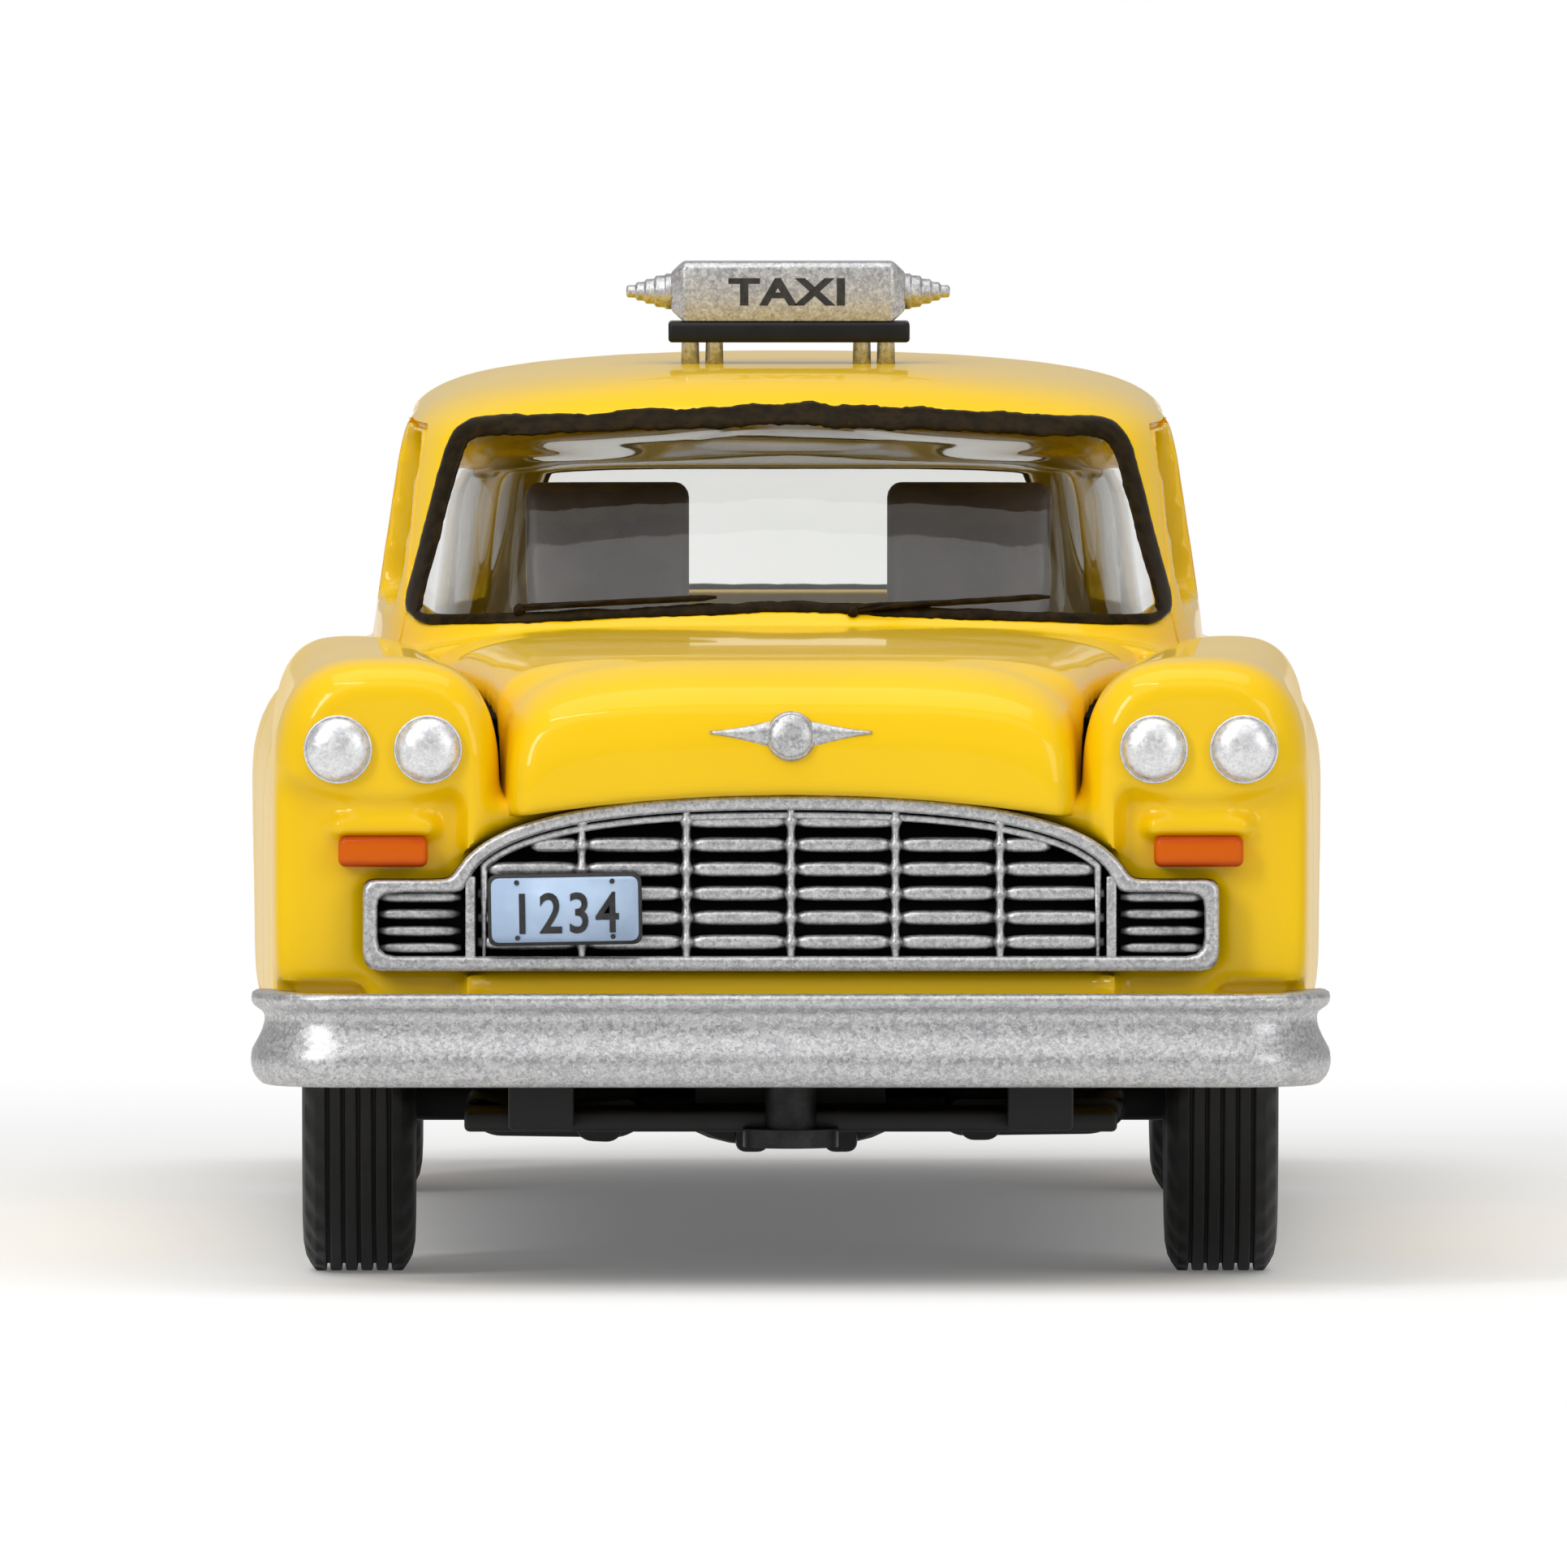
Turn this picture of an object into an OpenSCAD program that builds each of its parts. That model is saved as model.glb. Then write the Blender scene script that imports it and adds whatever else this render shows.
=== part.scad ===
// Toy taxi: a small die-cast saloon with an opening bonnet, turning wheels and a sign on its roof.
// The car faces -Y, +X is the driver's left, and the tyres stand on Z = 0. All lengths are in millimetres.

/* [Overall] */
// Distance from the front axle to the rear axle
wheelbase = 47.6; // [44:0.1:52]
// From the face of the front bumper back to the front axle
front_overhang = 13.6; // [12.8:0.1:15]
// From the rear axle back to the face of the rear bumper
rear_overhang = 17.8; // [16.5:0.1:20]
// Width over the rear wings
body_w = 30.2; // [29:0.1:32]
// Height of the crown of the roof above the waistline
cabin_rise = 7.5; // [6.6:0.1:9]
// Height of the sills above the ground
sill_h = 4.4; // [4.2:0.1:4.7]
// Wall of the cast body shell
shell_wall = 1; // [0.8:0.05:1.2]

/* [Front end] */
// How far the nose of the body stands behind the bumper's face
nose_setback = 1.9; // [1.6:0.1:2.4]
// Height of the front wings' tops above the waistline
wing_rise = 0.25; // [0.1:0.05:0.6]
// Width of a front wing at its nose
wing_w = 5.95; // [5.6:0.05:6.2]
// Rounding of the wings' noses
wing_round = 0.7; // [0.4:0.05:0.9]
// Height of the headlamps' face, from the wing's top down to the step
lamp_face_h = 3.75; // [3.6:0.05:3.95]
// How far the wing under the step stands back
chin_step = 0.6; // [0.4:0.05:0.8]
// Height of the lower edge of the nose
nose_low = 6.4; // [6:0.1:7]
// Wall behind the grille
nose_wall = 1.4; // [1.1:0.1:1.8]

/* [Bonnet] */
// From the front axle back to the bonnet's hinge
hinge_setback = 8.7; // [7.8:0.1:9.6]
// Height of the crown of the bonnet above the waistline
bonnet_rise = 0.45; // [0.3:0.05:0.8]
// How far the lip stands in front of the body's nose
bonnet_proud = 0.7; // [0.5:0.05:0.9]
// Gap round the closed bonnet
bonnet_gap = 0.2; // [0.15:0.01:0.3]
// Wall of the bonnet
bonnet_wall = 0.8; // [0.6:0.05:1]
// Radius of the rolled rear edge, round the hinge pin
roll_r = 1.05; // [0.95:0.05:1.2]
// Diameter of the hinge pin
hinge_pin_d = 0.7; // [0.5:0.05:0.8]
// Radial play of the hinge pin in its eyes
hinge_play = 0.04; // [0.02:0.01:0.08]
// Width of each hinge eye
hinge_eye_w = 1.3; // [1:0.1:1.6]
// From the inner face of a front wing in to the middle of a hinge eye
hinge_eye_inset = 4.56; // [3.6:0.02:5.4]
// Width of the trim bar on the bonnet's nose
badge_w = 4.4; // [3.6:0.1:5]
// Height of the trim bar
badge_h = 0.9; // [0.7:0.05:1.1]

/* [Cabin] */
// How far the cabin's foot stands in from the body's side
cabin_inset = 3.5; // [3.1:0.05:3.9]
// From the bonnet hinge back to the foot of the windscreen
cowl_l = 0.9; // [0.7:0.1:1.4]
// From the foot of the rear window back to the tail
boot_l = 16.3; // [15:0.1:18]
// From the cabin's side in to the foot of the windscreen opening
screen_pillar = 1.1; // [0.8:0.05:1.6]
// How far the windscreen opening draws in from its foot to its top
screen_taper = 1.4; // [1.2:0.05:1.9]
// From the cabin's side in to the rear window opening
rear_pillar = 3.2; // [2.8:0.05:4]
// Width of the pillar between the doors
door_pillar = 1.4; // [1:0.1:1.8]
// Height of the glass above the waistline
glass_foot = 0.75; // [0.6:0.05:0.9]
// Height of the frame above the side glass, measured down from the roof
roof_frame = 2.15; // [1.9:0.05:2.5]
// Thickness of the clear window moulding
glass_t = 0.5; // [0.4:0.05:0.6]
// Play between the window moulding and the shell
glass_play = 0.08; // [0.04:0.01:0.12]

/* [Base] */
// Height of the underside of the base plate above the ground
base_h = 3.8; // [3.5:0.1:4]
// Thickness of the base plate
base_t = 1; // [0.8:0.1:1.1]
// Play between the base plate and the sills
base_play = 0.3; // [0.2:0.05:0.5]
// Width of each axle bearing
bearing_w = 2.2; // [1.8:0.1:2.6]
// From the middle of a tyre in to the middle of its axle bearing
bearing_inset = 4.3; // [3.8:0.1:5.3]
// Diameter of the screw posts
post_d = 3.2; // [2.8:0.1:3.6]
// Diameter of the screw shanks
screw_d = 1.4; // [1.1:0.1:1.6]
// Diameter of the screw heads
screw_head_d = 2.6; // [2.3:0.1:2.9]
// Length of the screws below their heads
screw_l = 4.2; // [3.4:0.1:5]

/* [Wheels] */
// Diameter of the tyres
tyre_d = 11.1; // [10.8:0.1:11.4]
// Width of the tyres
tyre_w = 3.1; // [2.8:0.1:3.3]
// Thickness of the tyre from its seat on the hub to the tread
tyre_wall = 2.05; // [1.8:0.05:2.3]
// From the body's side in to the middle of a tyre
wheel_inset = 3.3; // [3.1:0.05:3.5]
// Diameter of the axles
axle_d = 1; // [0.8:0.05:1.1]
// Radial play of the axles in their bearings
axle_play = 0.05; // [0.02:0.01:0.09]
// Gap between a tyre and its wheel arch
arch_gap = 0.95; // [0.8:0.05:1.1]

/* [Grille] */
// From the body's side in to the end of the grille
grille_inset = 3.3; // [3:0.05:3.8]
// Width of each side wing of the grille
grille_side_w = 2.4; // [2.2:0.05:2.8]
// From the top of the front bumper up to the grille
grille_gap = 0.59; // [0.4:0.01:0.8]
// Height of the side wings of the grille
grille_side_h = 2.35; // [2.1:0.05:2.5]
// How far the crown of the grille reaches up behind the bonnet's lip
grille_tuck = 0.15; // [0:0.01:0.2]
// Depth of the grille insert
grille_t = 1.2; // [1:0.05:1.4]
// Width of the grille's frame
grille_frame = 0.42; // [0.3:0.02:0.5]
// Thickness of one grille bar
grille_bar = 0.34; // [0.26:0.02:0.4]

/* [Bumpers] */
// How far the ends of the bumpers stand in from the body's side
bumper_inset = 0.4; // [0.1:0.02:0.9]
// Height of a bumper
bumper_h = 2.56; // [2.3:0.02:2.7]
// Height of the lower edge of the bumpers above the ground
bumper_low = 5.6; // [5.4:0.05:5.8]
// Thickness of a bumper
bumper_t = 1.2; // [1:0.05:1.3]
// Radius of the bumpers' corners
bumper_corner = 2.6; // [2.2:0.1:3]
// Length of the bumpers' sides behind the corners
bumper_side = 1.6; // [1:0.1:2.2]
// Gap round the bumpers where the body gives way to them
bumper_gap = 0.15; // [0.1:0.01:0.25]

/* [Lamps and plates] */
// Diameter of the headlamps
lamp_d = 1.84; // [1.6:0.02:2]
// Distance between the two headlamps of one side
lamp_pitch = 2.45; // [2.3:0.05:2.6]
// From the wing's top down to the middle of the headlamps
lamp_drop = 2.4; // [2.2:0.05:2.65]
// Width of a turn signal
signal_w = 2.44; // [2.1:0.02:2.7]
// Height of a turn signal
signal_h = 0.82; // [0.7:0.02:0.9]
// From the side wings of the grille up to the turn signals
signal_gap = 0.44; // [0.34:0.02:0.6]
// From the turn signals up to the step under the headlamps
brow_gap = 1.04; // [0.9:0.02:1.2]
// Width of a tail lamp
tail_lamp_w = 1.5; // [1.2:0.1:1.8]
// Height of a tail lamp
tail_lamp_h = 3.4; // [2.8:0.1:3.8]
// Width of a number plate
plate_w = 4.2; // [3.8:0.1:4.6]
// Height of a number plate
plate_h = 1.95; // [1.7:0.05:2.1]
// Thickness of a number plate
plate_t = 0.3; // [0.2:0.02:0.4]
// Play of the lamps and plates in their seats
seat_play = 0.04; // [0.02:0.01:0.06]

/* [Roof sign] */
// Width of the box of the roof sign
sign_w = 6.5; // [5.8:0.1:7.2]
// Height of the box of the roof sign
sign_h = 1.67; // [1.5:0.05:2]
// Depth of the roof sign from front to back
sign_depth = 1.7; // [1.4:0.1:2.2]
// Height of the dark plinth under the box
sign_plinth = 0.52; // [0.4:0.02:0.7]
// Height of the feet of the sign
sign_foot = 0.34; // [0.25:0.01:0.5]
// Length of each stepped end of the sign
sign_cap_l = 1.25; // [1:0.05:1.5]
// From the middle of the car forward to the middle of the sign
sign_forward = 2; // [0:0.1:4]

/* [Interior] */
// Thickness of the floor of the interior tub
tub_floor = 0.8; // [0.6:0.1:1]
// Thickness of the walls of the interior tub
tub_wall = 0.8; // [0.6:0.05:0.9]
// Width of a front seat
seat_w = 4.7; // [4.2:0.1:5.2]
// From the tub's wall in to the front seats
seat_gap = 2.44; // [2.14:0.02:2.74]
// Headroom above the front seats, from the crown of the roof
headroom = 3.6; // [3.2:0.1:4.8]
// Height of the seat cushions above the tub floor
cushion_h = 4.6; // [4:0.1:5.2]
// Length of the seat cushions
cushion_l = 5.6; // [5:0.1:6]
// Thickness of the seat backs
back_t = 1.8; // [1.5:0.1:2.2]
// From the waistline down to the top of the rear seat's back
rear_back_drop = 1.7; // [1.3:0.1:2.3]
// Depth of the dashboard from front to back
dash_l = 3; // [2.6:0.1:3.4]
// Height of the dashboard
dash_h = 2.8; // [2.4:0.1:3.2]
// Diameter of the steering wheel
steering_d = 5; // [4.4:0.1:5.4]
// Thickness of the steering wheel's rim
steering_rim = 0.5; // [0.4:0.02:0.6]
// From the middle of the car out to a wiper's pivot
wiper_pivot = 2; // [1.2:0.1:2.8]
// From a wiper's tip out to the corner of the windscreen
wiper_tip = 3.3; // [2.5:0.1:4.1]
// Thickness of a windscreen wiper
wiper_d = 0.3; // [0.24:0.02:0.36]

/* [Hidden] */
$fn = 32;

// Overrun of every cut
over = 1;
// Thickness of one slice of a lofted form
slice_t = 0.02;
// Number of corners of one slice
slice_sides = 32;
// Radial play of a pressed pin or tyre
press_play = 0.01;
// Play of a pin in a faceted bore
faceted_play = 0.03;

overall_l = front_overhang + wheelbase + rear_overhang;
front_y = -overall_l / 2;
rear_y = overall_l / 2;
front_axle_y = front_y + front_overhang;
rear_axle_y = front_axle_y + wheelbase;
axle_z = tyre_d / 2;
tail_setback = 1.6;
nose_y = front_y + nose_setback;
tail_y = rear_y - tail_setback;
half_w = body_w / 2;
base_top = base_h + base_t;

// Heights of the front end, from the bumper up
grille_low = bumper_low + bumper_h + grille_gap;
grille_shoulder = grille_low + grille_side_h;
signal_z = grille_shoulder + signal_gap + signal_h / 2;
chin_h = signal_z + signal_h / 2 + brow_gap;
wing_h = chin_h + lamp_face_h;
lamp_h = wing_h - lamp_drop;
belt_h = wing_h - wing_rise;
bonnet_h = belt_h + bonnet_rise;
roof_h = belt_h + cabin_rise;

// Wheels
hub_d = tyre_d - 2 * tyre_wall;
track = body_w - 2 * wheel_inset;
bearing_span = track - 2 * bearing_inset;

// Bonnet and hinge
lip_y = nose_y - bonnet_proud;
hinge_y = front_axle_y + hinge_setback;
bonnet_l = hinge_y - lip_y;
// How far the rolled edge lies below the crown
roll_sink = 0.04;
hinge_z = bonnet_h - roll_r - roll_sink;
hinge_eye_r = hinge_pin_d / 2 + 0.28 * hinge_pin_d;
cowl_lap = 1;
cowl_y = hinge_y - cowl_lap;
wing_lap = 9;
wing_end_y = hinge_y + wing_lap;

// Cabin
cabin_front_y = hinge_y + cowl_l;
cabin_rear_y = tail_y - boot_l;
cabin_l = cabin_rear_y - cabin_front_y;
cabin_w = body_w - 2 * cabin_inset;
screen_foot = cabin_w / 2 - screen_pillar;
screen_head = screen_foot - screen_taper;
rear_light = cabin_w / 2 - rear_pillar;
glass_inset = shell_wall + glass_play;
// Share of a wall that a sloping window takes along the car
slope_share = 1.3;

// Lower body stations: along the body, half width, top height, foot height
lower_shares = [
  [0, 0.94, 1.018, 1],
  [0.06, 0.946, 1.016, 1],
  [0.12, 0.953, 1.01, 1],
  [0.33, 0.97, 1.003, 1],
  [0.55, 0.987, 0.994, 1],
  [0.7, 1, 0.97, 1.02],
  [0.82, 0.993, 0.935, 1.14],
  [0.91, 0.967, 0.888, 1.32],
  [0.965, 0.92, 0.846, 1.48],
  [0.99, 0.868, 0.805, 1.64],
  [1, 0.815, 0.763, 1.8]
];
lower_mid_share = 0.62;
lower_top_power = 4.2;
lower_foot_power = 9;

// Front wing stations: along the wing, outer half width, width, top height, rounding of the nose
wing_shares = [
  [0, 0.932, 1, 1, 1],
  [0.01, 0.932, 1, 1, 0.5],
  [0.029, 0.934, 1, 1, 0.14],
  [0.063, 0.936, 0.99, 1, 0],
  [0.29, 0.938, 0.91, 1, 0],
  [0.54, 0.941, 0.775, 1, 0],
  [0.71, 0.945, 0.68, 0.992, 0],
  [0.84, 0.944, 0.63, 0.972, 0],
  [1, 0.925, 0.6, 0.925, 0]
];
wing_mid_share = 0.77;
wing_top_power = 3;
wing_foot_power = 6;

// Bonnet stations: along the bonnet, lost half width, top height, foot height
bonnet_shares = [
  [0, 0.075, 0.87, 0.79],
  [0.01, 0.035, 0.915, 0.781],
  [0.04, 0.008, 0.95, 0.778],
  [0.09, 0, 0.975, 0.778],
  [0.13, 0, 0.985, 0.778],
  [0.21, 0, 0.991, 0.88],
  [0.46, 0, 0.998, 0.905],
  [0.75, 0, 1, 0.905],
  [0.93, 0, 1, 0.88],
  [1.06, 0, 1, 0.875]
];
bonnet_power = 4;

// Boot lid stations: along the lid, half width, top height
boot_shares = [
  [0, 0.69, 1.006],
  [0.22, 0.69, 1.006],
  [0.44, 0.69, 0.99],
  [0.62, 0.685, 0.957],
  [0.77, 0.675, 0.9],
  [0.87, 0.66, 0.825],
  [0.95, 0.635, 0.725],
  [1, 0.6, 0.605]
];
boot_lid_lap = 6.6;
boot_foot_share = 0.42;
boot_power = 3.4;

// Cabin tiers: height, front edge, rear edge, half width, power of the plan's corners
cabin_shares = [
  [-0.21, 0, 1, 1.002, 5],
  [0.013, 0.021, 0.982, 0.99, 5],
  [0.4, 0.081, 0.927, 0.955, 5],
  [0.71, 0.132, 0.876, 0.92, 5],
  [0.765, 0.142, 0.862, 0.9, 5],
  [0.83, 0.155, 0.84, 0.855, 4.6],
  [0.895, 0.172, 0.81, 0.768, 4.2],
  [0.95, 0.195, 0.77, 0.63, 3.6],
  [0.985, 0.225, 0.72, 0.46, 3],
  [1, 0.26, 0.67, 0.33, 2.6]
];

function unit_x(a, n) = sign(cos(a)) * pow(abs(cos(a)), 2 / n);
function unit_y(a, n) = sign(sin(a)) * pow(abs(sin(a)), 2 / n);
function turn(i) = 360 * i / slice_sides;

// Cross-section of the car: a rounded form with its own powers above and below its middle
function section(x, hw, low, mid, top, top_power, foot_power) = [
  for (i = [0 : slice_sides - 1])
    sin(turn(i)) > 0
      ? [x + hw * unit_x(turn(i), top_power), mid + (top - mid) * unit_y(turn(i), top_power)]
      : [x + hw * unit_x(turn(i), foot_power), mid + (mid - low) * unit_y(turn(i), foot_power)]
];

// Plan of one tier of the cabin
function tier_plan(hw, front, rear, n) = [
  for (i = [0 : slice_sides - 1])
    [hw * unit_x(turn(i), n), (front + rear) / 2 + (rear - front) / 2 * unit_y(turn(i), n)]
];

module slab(y, points) {
  translate([0, y, 0])
    rotate([90, 0, 0])
      linear_extrude(slice_t)
        polygon(points);
}

module loft(ys, sections) {
  for (i = [0 : len(ys) - 2]) {
    hull() {
      slab(ys[i], sections[i]);
      slab(ys[i + 1], sections[i + 1]);
    }
  }
}

// A box given by the middle of its foot
module block(w, l, h) {
  translate([-w / 2, -l / 2, 0])
    cube([w, l, h]);
}

// A rod along X
module rod(d, w) {
  rotate([0, 90, 0])
    cylinder(d = d, h = w, center = true);
}

// A round form with its face towards -Y
module facing() {
  rotate([90, 0, 0])
    children();
}

function lower_station(t, inset) =
  t == 0 && inset > 0 ? cowl_y - over : cowl_y + t * (tail_y - inset - cowl_y);
module lower_body(inset = 0, drop = 0) {
  loft(
    [for (r = lower_shares) lower_station(r[0], inset)],
    [for (r = lower_shares)
      section(0, half_w * r[1] - inset, sill_h * r[3] - drop, belt_h * lower_mid_share,
              belt_h * r[2] - inset, lower_top_power, lower_foot_power)]
  );
}

function wing_station(t) = nose_y + t * (wing_end_y - nose_y);
function wing_out(r) = half_w * r[1];
function wing_in(r) = half_w * r[1] - wing_w * r[2];
wing_in_table = [for (r = wing_shares) [wing_station(r[0]), wing_in(r)]];
function valley(y) = lookup(y, wing_in_table);
hinge_eye_x = valley(hinge_y) - hinge_eye_inset;
module wing(side) {
  loft(
    [for (r = wing_shares) wing_station(r[0])],
    [for (r = wing_shares)
      section(side * (wing_out(r) + wing_in(r)) / 2, (wing_out(r) - wing_in(r)) / 2 - wing_round * r[4],
              (r[0] < 0.5 ? nose_low : sill_h) + wing_round * r[4], wing_h * wing_mid_share,
              wing_h * r[3] - wing_round * r[4], wing_top_power, wing_foot_power)]
  );
}

function bonnet_station(t) = lip_y + t * bonnet_l;
function bonnet_half(r) = (valley(bonnet_station(r[0])) - bonnet_gap) * (1 - r[1]);
module bonnet_form(inset = 0, drop = 0) {
  loft(
    [for (r = bonnet_shares) bonnet_station(r[0]) + (r[0] < 0.5 ? inset : 0)],
    [for (r = bonnet_shares)
      section(0, bonnet_half(r) - inset, bonnet_h * r[3] - drop - slice_t,
              bonnet_h * r[3] - drop, bonnet_h * r[2] - inset, bonnet_power, bonnet_power)]
  );
}

boot_front_y = cabin_rear_y - boot_lid_lap;
function boot_station(t) = boot_front_y + t * (tail_y - boot_front_y);
module boot_lid(inset = 0) {
  loft(
    [for (r = boot_shares) boot_station(r[0]) - inset],
    [for (r = boot_shares)
      section(0, half_w * r[1] - inset, belt_h * boot_foot_share, belt_h * lower_mid_share,
              max(belt_h * r[2], belt_h * lower_mid_share + slice_t) - inset, boot_power, boot_power)]
  );
}

function tier_z(u, inset) = belt_h + u * (cabin_rise - (u > 0 ? inset : 0));
module cabin_form(inset = 0) {
  for (i = [0 : len(cabin_shares) - 2]) {
    hull() {
      tier(cabin_shares[i], inset);
      tier(cabin_shares[i + 1], inset);
    }
  }
}
module tier(r, inset) {
  translate([0, 0, tier_z(r[0], inset) - slice_t])
    linear_extrude(slice_t)
      polygon(tier_plan(cabin_w / 2 * r[3] - inset, cabin_front_y + cabin_l * r[1] + inset * slope_share,
                        cabin_front_y + cabin_l * r[2] - inset * slope_share, r[4]));
}

// Windows
glass_low = belt_h + glass_foot;
glass_top = roof_h - roof_frame;
window_round = 0.7;
screen_drop = 0.35;
screen_rise = 0.75;
pillar_y = (front_axle_y + rear_axle_y) / 2 + door_pillar;
screen_back_y = cabin_front_y + 0.26 * cabin_l;
rear_light_y = cabin_front_y + 0.82 * cabin_l;
side_front_foot = cabin_front_y + 0.16 * cabin_l;
side_front_head = cabin_front_y + 0.235 * cabin_l;
side_rear_foot = cabin_front_y + 0.8 * cabin_l;
side_rear_head = cabin_front_y + 0.755 * cabin_l;
module rounded_outline(r) {
  offset(r = r)
    offset(delta = -r)
      children();
}
module screen_cut() {
  translate([0, screen_back_y, 0])
    rotate([90, 0, 0])
      linear_extrude(screen_back_y - cabin_front_y + over)
        rounded_outline(window_round)
          polygon([
            [-screen_foot, glass_low - screen_drop],
            [0, glass_low],
            [screen_foot, glass_low - screen_drop],
            [screen_head, glass_top + screen_drop],
            [0, glass_top + screen_rise],
            [-screen_head, glass_top + screen_drop]
          ]);
}
module rear_light_cut() {
  translate([0, cabin_rear_y + over, 0])
    rotate([90, 0, 0])
      linear_extrude(cabin_rear_y + over - rear_light_y)
        rounded_outline(window_round)
          polygon([
            [-rear_light, glass_low],
            [rear_light, glass_low],
            [rear_light * screen_head / screen_foot, glass_top],
            [-rear_light * screen_head / screen_foot, glass_top]
          ]);
}
module side_window_cut() {
  rotate([90, 0, 90])
    linear_extrude(body_w, center = true)
      rounded_outline(window_round) {
        polygon([
          [side_front_foot, glass_low],
          [pillar_y - door_pillar / 2, glass_low],
          [pillar_y - door_pillar / 2, glass_top],
          [side_front_head, glass_top]
        ]);
        polygon([
          [pillar_y + door_pillar / 2, glass_low],
          [side_rear_foot, glass_low],
          [side_rear_head, glass_top],
          [pillar_y + door_pillar / 2, glass_top]
        ]);
      }
}

// Wheel wells, open to the outside
well_x = track / 2 - tyre_w / 2 - arch_gap;
module well_cut(y) {
  for (side = [-1, 1]) {
    translate([side * (well_x + half_w) / 2 + side * over / 2, y, axle_z])
      rod(tyre_d + 2 * arch_gap, half_w + over - well_x, $fn = 48);
    translate([side * (well_x + half_w) / 2 + side * over / 2, y, 0])
      block(half_w + over - well_x, tyre_d + 2 * arch_gap, axle_z);
  }
}

// Engine bay and the seat of the bonnet
bay_ledge = 0.55;
// Flat trimmed off the inner face of each front wing
valley_trim = 0.05;
bay_front_y = nose_y + nose_wall;
bonnet_seat_z = bonnet_h * bonnet_shares[6][3] - bonnet_gap;
bonnet_chin_z = bonnet_h * bonnet_shares[3][3] - bonnet_gap;
bonnet_chin_y = bonnet_station(bonnet_shares[5][0]);
plan_steps = 7;
module valley_plan(front, rear, inset) {
  ys = [for (i = [0 : plan_steps]) front + (rear - front) * i / plan_steps];
  polygon([
    for (y = ys) [valley(y) - inset, y],
    for (i = [0 : plan_steps]) [inset - valley(ys[plan_steps - i]), ys[plan_steps - i]]
  ]);
}
module bay_cut() {
  translate([0, 0, base_h])
    linear_extrude(roof_h)
      valley_plan(bay_front_y, hinge_y, bay_ledge);
  translate([0, 0, bonnet_seat_z])
    linear_extrude(roof_h)
      valley_plan(nose_y - over, hinge_y, -valley_trim);
  translate([0, 0, bonnet_chin_z])
    linear_extrude(bonnet_seat_z)
      valley_plan(nose_y - over, bonnet_chin_y, -2 * valley_trim);
  translate([0, hinge_y, hinge_z])
    rod(2 * (roll_r + bonnet_gap), 2 * valley(hinge_y) + 4 * valley_trim);
}

// Nose panel under the bonnet, between the wings
nose_half_w = half_w * wing_shares[0][1] - wing_w / 4;
module nose_panel() {
  translate([0, (nose_y + chin_step / 2 + cowl_y) / 2, nose_low + wing_round])
    block(2 * nose_half_w, cowl_y - nose_y - chin_step / 2, bonnet_chin_z - nose_low);
}
module chin_cut() {
  for (side = [-1, 1]) {
    translate([side * half_w, nose_y + chin_step / 2 - over / 2, 0])
      block(2 * (half_w - grille_arch_w / 2), chin_step + over, chin_h);
  }
}

// Grille outline, seen from the front
grille_y = nose_y + 1.35 * chin_step;
grille_w = body_w - 2 * grille_inset;
grille_arch_w = grille_w - 2 * grille_side_w;
grille_top = bonnet_chin_z + grille_tuck;
grille_h = grille_top - grille_low;
arch_power = 2.5;
function arch_at(x, hw, h) = h * pow(max(0, 1 - pow(abs(x / hw), arch_power)), 1 / arch_power);
module arch_outline(inset) {
  hw = grille_arch_w / 2 - inset;
  polygon([
    [-hw, grille_low + inset],
    [hw, grille_low + inset],
    for (i = [0 : slice_sides])
      let (x = hw * cos(180 * i / slice_sides))
        [x, grille_shoulder + arch_at(x, hw, grille_top - grille_shoulder - inset)]
  ]);
}
module side_outline(inset) {
  translate([-grille_w / 2 + inset, grille_low + inset])
    square([grille_w - 2 * inset, grille_side_h - 2 * inset]);
}
module grille_cut() {
  translate([0, grille_y, 0])
    facing()
      linear_extrude(grille_t + over) {
        arch_outline(-seat_play);
        side_outline(-seat_play);
      }
}

// Lamp and plate seats
lamp_x = half_w * wing_shares[0][1] - wing_w / 2;
lamp_y = nose_y + 0.5 * wing_round;
lamp_depth = 0.6;
signal_y = nose_y + chin_step + 0.7 * chin_step;
signal_depth = 1.1;
tail_lamp_x = half_w * 0.735;
tail_lamp_z = belt_h * lower_mid_share;
tail_lamp_y = tail_y - 0.5 * shell_wall;
tail_lamp_depth = 0.9;
rear_plate_z = bumper_low + bumper_h + plate_h;
rear_plate_y = tail_y - 0.3 * shell_wall;
module lamp_seats() {
  for (side = [-1, 1]) {
    for (place = [-1, 1]) {
      translate([side * lamp_x + place * lamp_pitch / 2, lamp_y, lamp_h])
        facing()
          cylinder(d = lamp_d + 2 * seat_play, h = over);
    }
    translate([side * lamp_x, signal_y, signal_z])
      facing()
        linear_extrude(over + signal_depth)
          square([signal_w + 2 * seat_play, signal_h + 2 * seat_play], center = true);
    translate([side * tail_lamp_x, tail_lamp_y + over, tail_lamp_z])
      facing()
        linear_extrude(over)
          tail_lamp_outline(seat_play);
  }
  translate([0, rear_plate_y + over, rear_plate_z])
    facing()
      linear_extrude(over)
        square([plate_w + 2 * seat_play, plate_h + 2 * seat_play], center = true);
}
module tail_lamp_outline(play) {
  for (end = [-1, 1]) {
    translate([0, end * (tail_lamp_h - tail_lamp_w) / 2])
      circle(d = tail_lamp_w + 2 * play);
  }
  square([tail_lamp_w + 2 * play, tail_lamp_h - tail_lamp_w], center = true);
}

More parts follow.
